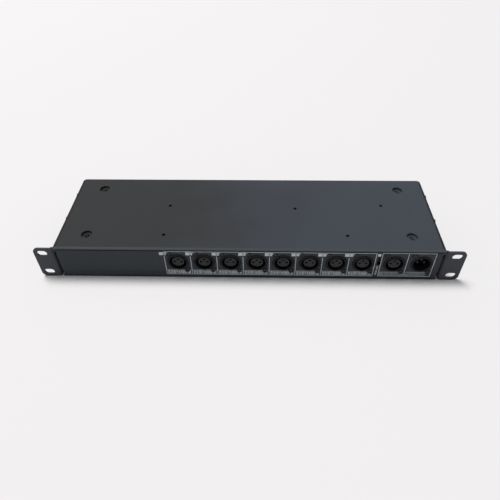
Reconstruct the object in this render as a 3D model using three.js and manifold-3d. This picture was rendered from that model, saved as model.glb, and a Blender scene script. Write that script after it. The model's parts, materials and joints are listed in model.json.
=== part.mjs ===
// Eight-way DMX splitter in a one-unit 19-inch steel case, as a three.js scene graph.
// Millimetres, +Z up. The unit lies on its lid with its underside upwards: the origin is the
// centre of the lid's outer face, +X runs along the connector panel, -Y faces the viewer.
import * as THREE from 'three';
import { mergeVertices } from 'three/addons/utils/BufferGeometryUtils.js';
import Module from 'manifold-3d';

const wasm = await Module();
wasm.setup();

// Case: folded steel sheet
const caseWidth = 437;
const caseDepth = 132;
const caseHeight = 44;
const traySheet = 1.2;
const lidSheet = 1.2;
const foldRadius = 3.6;
const sideFoldRadius = 2.8;
const lidFoldRadius = 1.8;
const foldSteps = 3;
const lipLength = 9;
const seam = 0.3;
const lidSetback = 0.2;
const lidWallDrop = 2.6;

// Side flanges of the tray, and the screws that hold the lid to them
const flangeLength = 12;
const lidScrewRearMargin = 28;
const lidScrewPitch = 46;
const lidScrewDrop = 5.4;
const screwHead = 6;
const screwHeadHeight = 2.1;
const screwShank = 3;
const screwPlay = 0.6;
const screwReach = 4.5;

// Rack ears
const earFlangeWidth = 22.8;
const earSheet = 2;
const earFoldRadius = 3.2;
const earReturn = 25;
const earRelief = 4;
const earCorner = 6;
const earCornerSteps = 6;
const slotEdge = 9.6;
const slotRim = 7.5;
const slotLength = 11.5;
const slotWidth = 7.6;
const earScrewInset = 16;
const earScrewPitch = 20;
const earTabMargin = 5;

// Foot dimples and board standoffs in the underside
const dimpleWidth = 12.6;
const dimpleDepth = 2;
const dimpleTaper = 2.4;
const dimpleHole = 3.4;
const dimpleSideInset = 32.5;
const dimpleFrontInset = 25;
const dimpleRearMargin = 20.5;
const dimpleSides = 16;
// Standoffs as their distance from the board's left or right edge and from the panel
const leftStandoffs = [[7.3, 77.8], [7.3, 25.1]];
const rightStandoffs = [[154.3, 73.8], [50, 80.3], [96.7, 25.6]];
const standoffWidth = 6;
const standoffBore = 3.2;
const standoffLength = 5;
const standoffSides = 8;

// Three-pole sockets on the panel
const socketDrop = 19.1;
const outputCount = 8;
const outputPitch = 29.83;
const inputInset = 23.6;
const thruPitch = 30.2;
const outputGap = 34.9;
const noseWidth = 24;
const noseProud = 0.8;
const boreWidth = 19.4;
const flangeWidth = 26;
const flangeHeight = 31;
const flangeThickness = 2.4;
const flangeCorner = 3;
const barrelWidth = 22.2;
const barrelLength = 16;
const barrelFloor = 3;
const socketScrewX = 9.5;
const socketScrewZ = 12;
const insertWidth = 14.2;
const insertRecess = 2.2;
const insertBlockWidth = 15;
const insertBlockHeight = 17;
const insertBlockDepth = 4;
const contactRadius = 3.8;
const contactBore = 2.6;
const contactDepth = 9;
const contactPin = 2.4;
const pinRecess = 2.4;
const tailWidth = 0.8;
const tailPitch = 5;
const tailProud = 1.4;
const socketSides = 24;
const insertSides = 16;
const contactSides = 6;
const screwSides = 8;
const holeSides = 6;

// Push latch in each female socket
const latchWidth = 6;
const latchThickness = 1.1;
const latchLength = 5.6;
const latchProud = 0.7;
const latchTravel = 1.5;
const latchWall = 0.6;
const latchShoulder = 0.8;

// Termination slide switch
const switchGap = 17.5;
const switchDrop = 15;
const switchSlotWidth = 3.9;
const switchSlotHeight = 12;
const switchBodyWidth = 8.2;
const switchBodyHeight = 14.2;
const switchBodyDepth = 8;
const switchWall = 1;
const sliderHeight = 5.2;
const sliderProud = 0.6;
const sliderShoe = 1.6;

// Main board and what hangs from it
const boardSideInset = 8.5;
const boardEndMargin = 24.99;
const boardFrontInset = 4.5;
const boardRearInset = 88;
const boardThickness = 1.6;
const chipLength = 9.6;
const chipWidth = 6.4;
const chipHeight = 3.6;
const chipInset = 38;
const terminalWidth = 8.5;
const terminalPitch = 5.2;
const terminalWays = 3;
const terminalHeight = 10;
const terminalInset = 53;
const coreOffset = 49;
const coreInset = 62;
const coreWidth = 42;
const coreDepth = 35;
const coreHeight = 15;
const coreLeg = 14;
const coilWall = 6.4;
const coilLength = 20.4;
const coilClearance = 7;
const capacitorOffset = 90;
const capacitorInset = 66;
const capacitorWidth = 16;
const capacitorHeight = 25;
const heatsinkOffset = 120;
const heatsinkInset = 66;
const heatsinkWidth = 22;
const heatsinkDepth = 12;
const heatsinkHeight = 22;
const heatsinkFins = 5;
const finThickness = 1.4;
const heatsinkBase = 2;
const regulatorWidth = 10;
const regulatorHeight = 15;
const regulatorThickness = 4.4;
const regulatorDrop = 2;

// Mains inlet with fuse drawer, on the rear wall
const inletInset = 68.5;
const inletFlangeWidth = 50;
const inletFlangeHeight = 32;
const inletFlangeThickness = 2.4;
const inletFlangeCorner = 4;
const inletBodyWidth = 27.6;
const inletBodyHeight = 29;
const inletBodyDepth = 22;
const inletScrewSpan = 40;
const cavityWidth = 24.4;
const cavityHeight = 16.6;
const cavityDepth = 16;
const cavityBevel = 4.6;
const cavityDrop = 5;
const bladeWidth = 2;
const bladeHeight = 4;
const bladeSpread = 7;
const bladeOffset = 1.2;
const earthOffset = 3;
const bladeRecess = 3;
const drawerWidth = 24;
const drawerHeight = 7.4;
const drawerDepth = 12;
const drawerRise = 9.2;
const drawerLip = 1;
const drawerFace = 2;
const drawerWall = 0.9;
const fuseWidth = 5;
const fuseLength = 20;
const fuseCapLength = 5;
const tabTerminalWidth = 4.8;
const tabTerminalThickness = 0.8;
const tabTerminalLength = 7;

// Power rocker, on the rear wall
const rockerGap = 50;
const rockerFlangeWidth = 15;
const rockerFlangeHeight = 23;
const rockerFlangeThickness = 1.8;
const rockerFlangeCorner = 1.5;
const rockerBodyWidth = 13;
const rockerBodyHeight = 21;
const rockerBodyDepth = 14;
const rockerWall = 1.1;
const rockerPocketDepth = 10;
const rockerThickness = 5;
const rockerNotch = 1.6;
const rockerPivotInset = 2.2;
const rockerRim = 1;
const rockerEndGap = 1.2;
const rockerHeel = 3.4;
const rockerHeelWidth = 6;
const rockerTabPitch = 10;
const rockerTilt = 10;
const axleWidth = 2.4;
const axleReach = 0.7;
const axleSides = 10;

// Insulated leads inside the case
const leadWidth = 2.4;
const leadSides = 8;
const leadStub = 8;
const leadBend = 14;
const leadSweep = 20;
const leadBow = 26;
const leadDrop = 4;
const leadAisle = 4;
const earthPostInset = 28.5;
const earthPostRearInset = 31;
const earthPostWidth = 6;
const earthPostLength = 8;

// How far one form runs into the next where the two are one piece
const bite = 0.5;

// Places and planes that several pieces share
const frontY = -caseDepth / 2;
const rearY = caseDepth / 2;
const screwHole = screwShank + screwPlay;
const panelBackY = frontY + traySheet;
const rearWallInnerY = rearY - traySheet;
const trayHalfWidth = caseWidth / 2 - seam;
const lidHalfWidth = trayHalfWidth - traySheet - seam;
const panelHalfWidth = lidHalfWidth - lidSheet - seam;
const lidScrewInsets = [caseDepth - lidScrewRearMargin - lidScrewPitch, caseDepth - lidScrewRearMargin];
const rackWidth = caseWidth + 2 * earFlangeWidth;
const slotSpan = rackWidth - 2 * slotEdge;
const slotPitch = caseHeight - 2 * slotRim;
const dimpleSpread = caseWidth - 2 * dimpleSideInset;
const dimpleRearInset = caseDepth - dimpleRearMargin;
const socketHeight = caseHeight - socketDrop;
const inputX = caseWidth / 2 - inputInset;
const thruX = inputX - thruPitch;
const firstOutputX = thruX - outputGap;
const lastOutputX = firstOutputX - (outputCount - 1) * outputPitch;
const switchX = thruX - switchGap;
const switchZ = caseHeight - switchDrop;
const boardLeft = lastOutputX - boardEndMargin;
const boardRight = caseWidth / 2 - boardSideInset;
const standoffPlaces = [
  ...leftStandoffs.map(([inwards, inset]) => [boardLeft + inwards, inset]),
  ...rightStandoffs.map(([inwards, inset]) => [boardRight - inwards, inset]),
];
const inletX = inletInset - caseWidth / 2;
const rockerX = inletX + rockerGap;
const inletZ = caseHeight / 2;
const rockerZ = caseHeight / 2;
const plateInnerZ = caseHeight - traySheet;
const lipZ = lidSheet + seam;
const boardTopZ = plateInnerZ - standoffLength;
const boardUnderZ = boardTopZ - boardThickness;
const coilHeight = boardUnderZ - lidSheet - coilClearance;
const lidScrewZ = caseHeight - lidScrewDrop;
const barrelBackY = panelBackY + flangeThickness + barrelLength;
const insertBlockBackY = barrelBackY + insertBlockDepth;
const tailY = (barrelBackY + insertBlockBackY) / 2;
const inletCavityZ = inletZ - cavityDrop;
const drawerZ = inletZ + drawerRise;
const inletBackY = rearY - inletBodyDepth;
const rockerBackY = rearY - rockerBodyDepth;
const terminalY = frontY + terminalInset;
const terminalZ = boardUnderZ - terminalHeight / 2;
const earthPostX = earthPostInset - caseWidth / 2;
const earthPostY = rearY - earthPostRearInset;

// Finishes
const blackPaint = { color: 0x3c4145, roughness: 0.55, metalness: 0.15 };
const earPaint = { color: 0x3f4044, roughness: 0.6, metalness: 0.15 };
const blackPlastic = { color: 0x17181a, roughness: 0.45, metalness: 0 };
const latchPlastic = { color: 0x1c1d1f, roughness: 0.35, metalness: 0 };
const blackScrew = { color: 0x2a2b2d, roughness: 0.4, metalness: 0.7 };
const boardGreen = { color: 0x1d4a2c, roughness: 0.5, metalness: 0 };
const coreSteel = { color: 0x6c6a66, roughness: 0.5, metalness: 0.8 };
const coilTape = { color: 0xb38a35, roughness: 0.6, metalness: 0 };
const capacitorSleeve = { color: 0x1f2a44, roughness: 0.4, metalness: 0 };
const bareAluminium = { color: 0xb9bcbf, roughness: 0.35, metalness: 1 };
const fuseGlass = { color: 0xc9d2d0, roughness: 0.2, metalness: 0.2 };
const leadColours = { live: 0x6b3d22, switched: 0x7a1f1f, neutral: 0x1f3f86, earth: 0x2f7a35 };

const unit = new THREE.Group();

// A closed geometry as a solid, and a solid back as a geometry
function solidOf(geometry) {
  const bare = geometry.clone();
  bare.deleteAttribute('normal');
  bare.deleteAttribute('uv');
  const merged = mergeVertices(bare, 1e-4);
  const vertProperties = new Float32Array(merged.attributes.position.array);
  const triVerts = new Uint32Array(merged.index.array);
  return new wasm.Manifold(new wasm.Mesh({ numProp: 3, vertProperties, triVerts }));
}

function geometryOf(solid) {
  const mesh = solid.getMesh();
  const geometry = new THREE.BufferGeometry();
  geometry.setAttribute('position', new THREE.BufferAttribute(new Float32Array(mesh.vertProperties), 3));
  geometry.setIndex(new THREE.BufferAttribute(new Uint32Array(mesh.triVerts), 1));
  geometry.computeVertexNormals();
  return geometry;
}

// One piece from geometries that are joined and others that are cut away
function carve(joined, removed = []) {
  let solid = solidOf(joined[0]);
  for (const geometry of joined.slice(1)) {
    solid = solid.add(solidOf(geometry));
  }
  for (const geometry of removed) {
    solid = solid.subtract(solidOf(geometry));
  }
  return geometryOf(solid);
}

function place(name, geometry, finish, x = 0, y = 0, z = 0) {
  const mesh = new THREE.Mesh(geometry, new THREE.MeshStandardMaterial(finish));
  mesh.name = name;
  mesh.position.set(x, y, z);
  unit.add(mesh);
  return mesh;
}

function block(x0, x1, y0, y1, z0, z1) {
  const geometry = new THREE.BoxGeometry(Math.abs(x1 - x0), Math.abs(y1 - y0), Math.abs(z1 - z0));
  return geometry.translate((x0 + x1) / 2, (y0 + y1) / 2, (z0 + z1) / 2);
}

function rodX(x0, x1, y, z, width, sides) {
  const geometry = new THREE.CylinderGeometry(width / 2, width / 2, Math.abs(x1 - x0), sides);
  return geometry.rotateZ(Math.PI / 2).translate((x0 + x1) / 2, y, z);
}

function rodY(x, y0, y1, z, width, sides) {
  const geometry = new THREE.CylinderGeometry(width / 2, width / 2, Math.abs(y1 - y0), sides);
  return geometry.translate(x, (y0 + y1) / 2, z);
}

function rodZ(x, y, z0, z1, width, sides) {
  const geometry = new THREE.CylinderGeometry(width / 2, width / 2, Math.abs(z1 - z0), sides);
  return geometry.rotateX(Math.PI / 2).translate(x, y, (z0 + z1) / 2);
}

// Extrusions of an outline drawn in the YZ, XZ or XY plane
function extrude(outline, depth, curveSegments) {
  return new THREE.ExtrudeGeometry(outline, { depth, bevelEnabled: false, curveSegments });
}

function extrudeX(outline, x0, x1, curveSegments = 4) {
  const turn = new THREE.Matrix4().makeBasis(
    new THREE.Vector3(0, 1, 0),
    new THREE.Vector3(0, 0, 1),
    new THREE.Vector3(1, 0, 0),
  );
  return extrude(outline, x1 - x0, curveSegments).applyMatrix4(turn).translate(x0, 0, 0);
}

function extrudeY(outline, y0, y1, curveSegments = 4) {
  return extrude(outline, y1 - y0, curveSegments).rotateX(Math.PI / 2).translate(0, y1, 0);
}

function extrudeZ(outline, z0, z1, curveSegments = 4) {
  return extrude(outline, z1 - z0, curveSegments).translate(0, 0, z0);
}

// Cross-section of a folded sheet, from its outer corners in order
function foldedStrip(corners, thickness, radius) {
  const points = corners.map(([across, up]) => new THREE.Vector2(across, up));
  const headings = points.slice(1).map((point, i) => point.clone().sub(points[i]).normalize());
  const turn = Math.sign(headings[0].cross(headings[1]));
  const inwards = headings.map((heading) => new THREE.Vector2(-heading.y, heading.x).multiplyScalar(turn));
  const middle = new THREE.Vector2(0, 0);
  const outer = [points[0]];
  const inner = [points[0].clone().addScaledVector(inwards[0], thickness)];
  for (let i = 1; i < points.length - 1; i += 1) {
    const centre = points[i].clone();
    centre.addScaledVector(inwards[i - 1], radius).addScaledVector(inwards[i], radius);
    for (let step = 0; step <= foldSteps; step += 1) {
      const angle = (turn * Math.PI / 2) * (step / foldSteps);
      const spoke = inwards[i - 1].clone().negate().rotateAround(middle, angle);
      outer.push(centre.clone().addScaledVector(spoke, radius));
      inner.push(centre.clone().addScaledVector(spoke, radius - thickness));
    }
  }
  const last = points[points.length - 1];
  outer.push(last);
  inner.push(last.clone().addScaledVector(inwards[inwards.length - 1], thickness));
  return new THREE.Shape([...outer, ...inner.reverse()]);
}

function roundedRectangle(x, z, width, height, radius) {
  const right = x + width / 2 - radius;
  const left = x - width / 2 + radius;
  const top = z + height / 2 - radius;
  const bottom = z - height / 2 + radius;
  const outline = new THREE.Shape();
  outline.absarc(right, top, radius, 0, Math.PI / 2);
  outline.absarc(left, top, radius, Math.PI / 2, Math.PI);
  outline.absarc(left, bottom, radius, Math.PI, Math.PI * 1.5);
  outline.absarc(right, bottom, radius, Math.PI * 1.5, Math.PI * 2);
  return outline;
}

// Pan-head screw along +Y of its own frame: the head's seat is at 0 and the shank runs to -reach
function panScrew(reach, headWidth = screwHead, headHeight = screwHeadHeight) {
  const head = headWidth / 2;
  const shank = screwShank / 2;
  const profile = [
    new THREE.Vector2(0, -reach),
    new THREE.Vector2(shank, -reach),
    new THREE.Vector2(shank, 0),
    new THREE.Vector2(head, 0),
    new THREE.Vector2(head, headHeight * 0.5),
    new THREE.Vector2(head * 0.7, headHeight),
    new THREE.Vector2(0, headHeight),
  ];
  return new THREE.LatheGeometry(profile, screwSides);
}

// The sockets along the panel, left to right in the part's frame
function outputX(number) {
  return firstOutputX - (number - 1) * outputPitch;
}

const femaleSockets = [];
for (let number = 1; number <= outputCount; number += 1) {
  femaleSockets.push({ name: `output_${number}`, x: outputX(number) });
}
femaleSockets.push({ name: 'thru', x: thruX });
const socketCentres = [...femaleSockets.map((socket) => socket.x), inputX];
const socketScrews = [[-socketScrewX, socketScrewZ], [socketScrewX, -socketScrewZ]];

// Tray: underside plate, connector panel, rear wall and two side flanges in one folded sheet
function trayCuts() {
  const cuts = [];
  const through = [frontY - traySheet, panelBackY + traySheet];
  for (const x of socketCentres) {
    cuts.push(rodY(x, ...through, socketHeight, noseWidth + 2 * seam, socketSides));
    for (const [dx, dz] of socketScrews) {
      cuts.push(rodY(x + dx, ...through, socketHeight + dz, screwHole, holeSides));
    }
  }
  const slotLeft = switchX - switchSlotWidth / 2;
  const slotTop = switchZ + switchSlotHeight / 2;
  cuts.push(block(slotLeft, slotLeft + switchSlotWidth, ...through, slotTop - switchSlotHeight, slotTop));
  const rearThrough = [rearWallInnerY - traySheet, rearY + traySheet];
  const inletHalf = inletBodyWidth / 2 + seam;
  const inletRise = inletBodyHeight / 2 + seam;
  cuts.push(block(
    inletX - inletHalf, inletX + inletHalf, ...rearThrough, inletZ - inletRise, inletZ + inletRise,
  ));
  for (const side of [-1, 1]) {
    cuts.push(rodY(inletX + side * inletScrewSpan / 2, ...rearThrough, inletZ, screwHole, holeSides));
  }
  const rockerHalf = rockerBodyWidth / 2 + seam;
  const rockerRise = rockerBodyHeight / 2 + seam;
  cuts.push(block(
    rockerX - rockerHalf, rockerX + rockerHalf, ...rearThrough, rockerZ - rockerRise, rockerZ + rockerRise,
  ));
  return cuts;
}

function footDimples() {
  const places = [];
  for (const inset of [dimpleFrontInset, dimpleRearInset]) {
    for (const side of [-1, 1]) {
      places.push([side * dimpleSpread / 2, frontY + inset]);
    }
  }
  const cupTop = dimpleWidth / 2;
  const cupFloor = cupTop - dimpleTaper / 2;
  const cupBottomZ = caseHeight - dimpleDepth - traySheet;
  const cupRimZ = caseHeight - traySheet / 2;
  const cups = places.map(([x, y]) => {
    const cup = new THREE.CylinderGeometry(cupTop + traySheet, cupFloor + traySheet, cupRimZ - cupBottomZ,
      dimpleSides);
    return cup.rotateX(Math.PI / 2).translate(x, y, (cupRimZ + cupBottomZ) / 2);
  });
  const hollows = places.map(([x, y]) => {
    const hollow = new THREE.CylinderGeometry(cupTop, cupFloor, dimpleDepth, dimpleSides);
    return hollow.rotateX(Math.PI / 2).translate(x, y, caseHeight - dimpleDepth / 2);
  });
  const holes = places.map(([x, y]) => rodZ(x, y, cupBottomZ - 1, caseHeight, dimpleHole, screwSides));
  return { cups, hollows, holes };
}

function chassisTray() {
  const middle = foldedStrip([
    [frontY + lipLength, lipZ],
    [frontY, lipZ],
    [frontY, caseHeight],
    [rearY, caseHeight],
    [rearY, lipZ],
    [rearY - lipLength, lipZ],
  ], traySheet, foldRadius);
  const bendFoot = caseHeight - foldRadius - seam;
  const edges = foldedStrip([
    [frontY, bendFoot],
    [frontY, caseHeight],
    [rearY, caseHeight],
    [rearY, bendFoot],
  ], traySheet, foldRadius);
  const flangeFoot = caseHeight - flangeLength;
  const flanges = foldedStrip([
    [-trayHalfWidth, flangeFoot],
    [-trayHalfWidth, caseHeight],
    [trayHalfWidth, caseHeight],
    [trayHalfWidth, flangeFoot],
  ], traySheet, sideFoldRadius);
  const joined = [
    extrudeX(middle, -panelHalfWidth, panelHalfWidth),
    extrudeX(edges, -trayHalfWidth, trayHalfWidth),
    extrudeY(flanges, frontY + foldRadius, rearY - foldRadius),
  ];
  const removed = trayCuts();
  for (const side of [-1, 1]) {
    const outer = side * trayHalfWidth;
    const inner = side * (trayHalfWidth - traySheet);
    const waste = cornerWaste(outer, caseHeight, side, 1, sideFoldRadius, foldSteps);
    removed.push(extrudeY(waste, frontY - 1, rearY + 1));
    for (const inset of lidScrewInsets) {
      removed.push(rodX(inner - side, outer + side, frontY + inset, lidScrewZ, screwHole, holeSides));
    }
    joined.push(block(inner, outer, frontY + foldRadius, frontY + earScrewInset + earTabMargin,
      caseHeight / 2 - earScrewPitch / 2 - earTabMargin, flangeFoot + bite));
    for (const rise of [-1, 1]) {
      const z = caseHeight / 2 + rise * earScrewPitch / 2;
      removed.push(rodX(inner - side, outer + side, frontY + earScrewInset, z, screwHole, holeSides));
    }
  }
  const feet = footDimples();
  joined.push(...feet.cups);
  removed.push(...feet.hollows, ...feet.holes);
  for (const [x, inset] of standoffPlaces) {
    const y = frontY + inset;
    joined.push(rodZ(x, y, boardTopZ, plateInnerZ + traySheet / 2, standoffWidth, standoffSides));
    removed.push(rodZ(x, y, boardTopZ - 1, caseHeight + 1, standoffBore, holeSides));
  }
  joined.push(rodZ(earthPostX, earthPostY, plateInnerZ - earthPostLength, plateInnerZ + traySheet / 2,
    earthPostWidth, 6));
  return carve(joined, removed);
}

// Lid: the plate that the unit lies on, with a wall folded up inside each side flange of the tray
function lidCover() {
  const past = 3;
  const wallTop = caseHeight - lidWallDrop;
  const outline = foldedStrip([
    [-lidHalfWidth, wallTop],
    [-lidHalfWidth, 0],
    [lidHalfWidth, 0],
    [lidHalfWidth, wallTop],
  ], lidSheet, lidFoldRadius);
  const removed = [];
  for (const side of [-1, 1]) {
    const inner = side * (lidHalfWidth - past);
    const outer = side * (lidHalfWidth + past);
    for (const inset of lidScrewInsets) {
      removed.push(rodX(inner, outer, frontY + inset, lidScrewZ, screwHole, holeSides));
    }
    for (const rise of [-1, 1]) {
      const z = caseHeight / 2 + rise * earScrewPitch / 2;
      removed.push(rodX(inner, outer, frontY + earScrewInset, z, screwHole, holeSides));
    }
    for (const [end, stop] of [[frontY - 1, frontY + foldRadius], [rearY - foldRadius, rearY + 1]]) {
      removed.push(block(inner, outer, end, stop, lidFoldRadius, wallTop + 1));
    }
  }
  return carve([extrudeY(outline, frontY + lidSetback, rearY)], removed);
}

// Rack ear: a folded bracket, its front flange slotted, its rear flange screwed to the tray and the lid
function rackEar(side) {
  const inner = side * caseWidth / 2;
  const outer = side * rackWidth / 2;
  const outline = foldedStrip([[outer, frontY], [inner, frontY], [inner, frontY + earReturn]], earSheet,
    earFoldRadius);
  const removed = [];
  const slotX = side * slotSpan / 2;
  for (const rise of [-1, 1]) {
    const z = caseHeight / 2 + rise * slotPitch / 2;
    const slot = roundedRectangle(slotX, z, slotLength, slotWidth, slotWidth / 2 - 0.01);
    removed.push(extrudeY(slot, frontY - earSheet, frontY + 2 * earSheet, 3));
    const relief = caseHeight / 2 + rise * (caseHeight / 2 - earRelief / 2);
    const reliefFront = frontY + earFoldRadius;
    removed.push(block(inner - side, inner + side * (earSheet + 1), reliefFront, frontY + earReturn + 1,
      relief - earRelief / 2 - (rise < 0 ? 1 : 0), relief + earRelief / 2 + (rise > 0 ? 1 : 0)));
    const screwZ = caseHeight / 2 + rise * earScrewPitch / 2;
    removed.push(rodX(inner - side, inner + side * (earSheet + 1), frontY + earScrewInset, screwZ,
      screwHole, holeSides));
  }
  for (const rise of [-1, 1]) {
    const cornerZ = caseHeight / 2 + rise * caseHeight / 2;
    const waste = cornerWaste(outer, cornerZ, side, rise, earCorner, earCornerSteps);
    removed.push(extrudeY(waste, frontY - earSheet, frontY + 2 * earSheet));
  }
  return carve([extrudeZ(outline, 0, caseHeight)], removed);
}

// What is cut off an outer corner to round it; the signs say which way each side faces
function cornerWaste(across, up, acrossSign, upSign, radius, steps) {
  const centreAcross = across - acrossSign * radius;
  const centreUp = up - upSign * radius;
  const outline = new THREE.Shape();
  outline.moveTo(across + acrossSign, up + upSign);
  outline.lineTo(centreAcross, up + upSign);
  for (let step = 0; step <= steps; step += 1) {
    const angle = (Math.PI / 2) * (step / steps);
    outline.lineTo(centreAcross + acrossSign * radius * Math.sin(angle),
      centreUp + upSign * radius * Math.cos(angle));
  }
  outline.lineTo(across + acrossSign, centreUp);
  return outline;
}

// Socket housing around its own axis: nose through the panel, flange behind it, barrel, two screws
function socketShell() {
  const joined = [
    rodY(0, frontY - noseProud, panelBackY + seam, 0, noseWidth, socketSides),
    extrudeY(roundedRectangle(0, 0, flangeWidth, flangeHeight, flangeCorner), panelBackY,
      panelBackY + flangeThickness, 1),
    rodY(0, panelBackY + seam, barrelBackY, 0, barrelWidth, socketSides),
  ];
  for (const [dx, dz] of socketScrews) {
    const screw = panScrew(traySheet + flangeThickness / 2).rotateZ(Math.PI);
    joined.push(screw.translate(dx, frontY, dz));
  }
  return joined;
}

function socketHollows() {
  return [
    rodY(0, frontY - noseProud - 1, barrelBackY - barrelFloor, 0, boreWidth, socketSides),
    rodY(0, barrelBackY - barrelFloor - 1, barrelBackY + 1, 0, insertWidth + 2 * seam, insertSides),
  ];
}

function latchNotch() {
  const outer = -(noseWidth / 2 - latchWall);
  const inner = -(boreWidth / 2 - 1);
  const half = latchWidth / 2 + seam;
  const depth = frontY + latchLength + latchTravel + seam;
  return block(-half, half, frontY - noseProud - 1, depth, outer, inner);
}

function femaleHousing() {
  return carve(socketShell(), [...socketHollows(), latchNotch()]);
}

function latchTab() {
  const outer = -(noseWidth / 2 - latchWall - seam);
  const half = latchWidth / 2;
  const pad = block(-half, half, frontY - noseProud - latchProud, frontY, outer, outer + latchThickness);
  const stem = block(-half + latchShoulder, half - latchShoulder, frontY - bite, frontY + latchLength,
    outer, outer + latchThickness);
  return carve([pad, stem]);
}

// The block behind the barrel with three solder tails that rise through the board
function tailBlock() {
  const half = insertBlockWidth / 2;
  const rise = insertBlockHeight / 2;
  const joined = [block(-half, half, barrelBackY, insertBlockBackY, -rise, rise)];
  for (const step of [-1, 0, 1]) {
    const x = step * tailPitch;
    const tip = boardTopZ + tailProud - socketHeight;
    joined.push(block(x - tailWidth / 2, x + tailWidth / 2, tailY - tailWidth / 2, tailY + tailWidth / 2,
      rise - 1, tip));
  }
  return joined;
}

const contactPlaces = [[-contactRadius, 0], [contactRadius, 0], [0, contactRadius]];

function femaleInsert() {
  const face = frontY + insertRecess;
  const joined = [rodY(0, face, barrelBackY + 1, 0, insertWidth, insertSides), ...tailBlock()];
  const removed = contactPlaces.map(([x, z]) => (
    rodY(x, face - 1, face + contactDepth, z, contactBore, contactSides)
  ));
  return carve(joined, removed);
}

function maleCarrier() {
  const floor = barrelBackY - barrelFloor;
  const joined = [
    rodY(0, floor - 1.5, floor, 0, boreWidth - 2 * seam, socketSides),
    rodY(0, floor - 1, barrelBackY + 1, 0, insertWidth, insertSides),
    ...tailBlock(),
  ];
  for (const [x, z] of contactPlaces) {
    joined.push(contactPinAt(x, z, frontY + pinRecess, floor));
  }
  return carve(joined);
}

function contactPinAt(x, z, tipY, rootY) {
  const radius = contactPin / 2;
  const profile = [
    new THREE.Vector2(0, 0),
    new THREE.Vector2(radius * 0.6, 0.2),
    new THREE.Vector2(radius, 1),
    new THREE.Vector2(radius, rootY - tipY),
    new THREE.Vector2(0, rootY - tipY),
  ];
  return new THREE.LatheGeometry(profile, 8).translate(x, tipY, z);
}

// Slide switch: a body behind the panel's slot, and the slider that runs in it
function switchBody() {
  const half = switchBodyWidth / 2;
  const rise = switchBodyHeight / 2;
  const back = panelBackY + switchBodyDepth;
  const shell = block(-half, half, panelBackY, back, -rise, rise);
  const hollow = block(-half + switchWall, half - switchWall, panelBackY + switchWall, back - switchWall,
    -rise + switchWall, rise - switchWall);
  const slotHalf = switchSlotWidth / 2;
  const slotRise = switchSlotHeight / 2;
  const mouth = block(-slotHalf, slotHalf, panelBackY - 1, panelBackY + switchWall + 1, -slotRise, slotRise);
  const bracket = block(-half, half, panelBackY + 2, back, rise - bite, boardUnderZ - switchZ);
  return carve([shell, bracket], [hollow, mouth]);
}

function switchSlider() {
  const half = switchSlotWidth / 2 - seam;
  const top = switchSlotHeight / 2 - seam;
  const shoeHalf = switchBodyWidth / 2 - switchWall - seam;
  const shoeFront = panelBackY + switchWall + seam;
  const stem = block(-half, half, frontY - sliderProud, shoeFront + bite, top - sliderHeight, top);
  const shoe = block(-shoeHalf, shoeHalf, shoeFront, shoeFront + sliderShoe, top - sliderHeight, top);
  return carve([stem, shoe]);
}

// Main board: the sheet, a driver chip for each socket, the mains terminal block and board screws
function mainBoard() {
  const front = frontY + boardFrontInset;
  const rear = frontY + boardRearInset;
  const joined = [block(boardLeft, boardRight, front, rear, boardUnderZ, boardTopZ)];
  const removed = [];
  for (const x of socketCentres) {
    const chipY = frontY + chipInset;
    joined.push(block(x - chipWidth / 2, x + chipWidth / 2, chipY - chipLength / 2, chipY + chipLength / 2,
      boardUnderZ - chipHeight, boardUnderZ + bite));
    for (const step of [-1, 0, 1]) {
      const hole = tailWidth / 2 + seam;
      const tail = x + step * tailPitch;
      removed.push(block(tail - hole, tail + hole, tailY - hole, tailY + hole,
        boardUnderZ - 1, boardTopZ + 1));
    }
  }
  const terminalHalf = terminalWays * terminalPitch / 2;
  joined.push(block(boardLeft, boardLeft + terminalWidth, terminalY - terminalHalf, terminalY + terminalHalf,
    boardUnderZ - terminalHeight, boardUnderZ + bite));
  for (const [x, inset] of standoffPlaces) {
    const y = frontY + inset;
    joined.push(rodZ(x, y, boardUnderZ - screwHeadHeight, boardUnderZ + bite, screwHead, screwSides));
    joined.push(rodZ(x, y, boardTopZ - bite, boardTopZ + standoffLength / 2, standoffBore - 2 * seam,
      holeSides));
  }
  return carve(joined, removed);
}

// Mains transformer: laminated core with two windows, and the coil around its middle leg
function transformerCore() {
  const windowWidth = (coreWidth - 2 * coreLeg) / 2 + seam;
  const windowRun = coilLength / 2 + seam;
  const joined = [block(-coreWidth / 2, coreWidth / 2, -coreDepth / 2, coreDepth / 2,
    -coreHeight / 2, coreHeight / 2)];
  const removed = [-1, 1].map((side) => block(side * coreLeg / 2, side * (coreLeg / 2 + windowWidth),
    -windowRun, windowRun, -coreHeight, coreHeight));
  return carve(joined, removed);
}

function transformerCoil() {
  const half = coreLeg / 2 + seam + coilWall;
  const run = coilLength / 2;
  const legHalf = coreLeg / 2 + seam;
  const legRise = coreHeight / 2 + seam;
  const winding = block(-half, half, -run, run, -coilHeight / 2, coilHeight / 2);
  return carve([winding], [block(-legHalf, legHalf, -run - 1, run + 1, -legRise, legRise)]);
}

function smoothingCapacitor() {
  const radius = capacitorWidth / 2;
  const profile = [
    new THREE.Vector2(0, 0),
    new THREE.Vector2(radius - 0.6, 0),
    new THREE.Vector2(radius, 0.8),
    new THREE.Vector2(radius, capacitorHeight - 4),
    new THREE.Vector2(radius - 0.9, capacitorHeight - 3),
    new THREE.Vector2(radius, capacitorHeight - 2),
    new THREE.Vector2(radius, capacitorHeight),
    new THREE.Vector2(0, capacitorHeight),
  ];
  return carve([new THREE.LatheGeometry(profile, 16).rotateX(Math.PI / 2)]);
}

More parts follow.
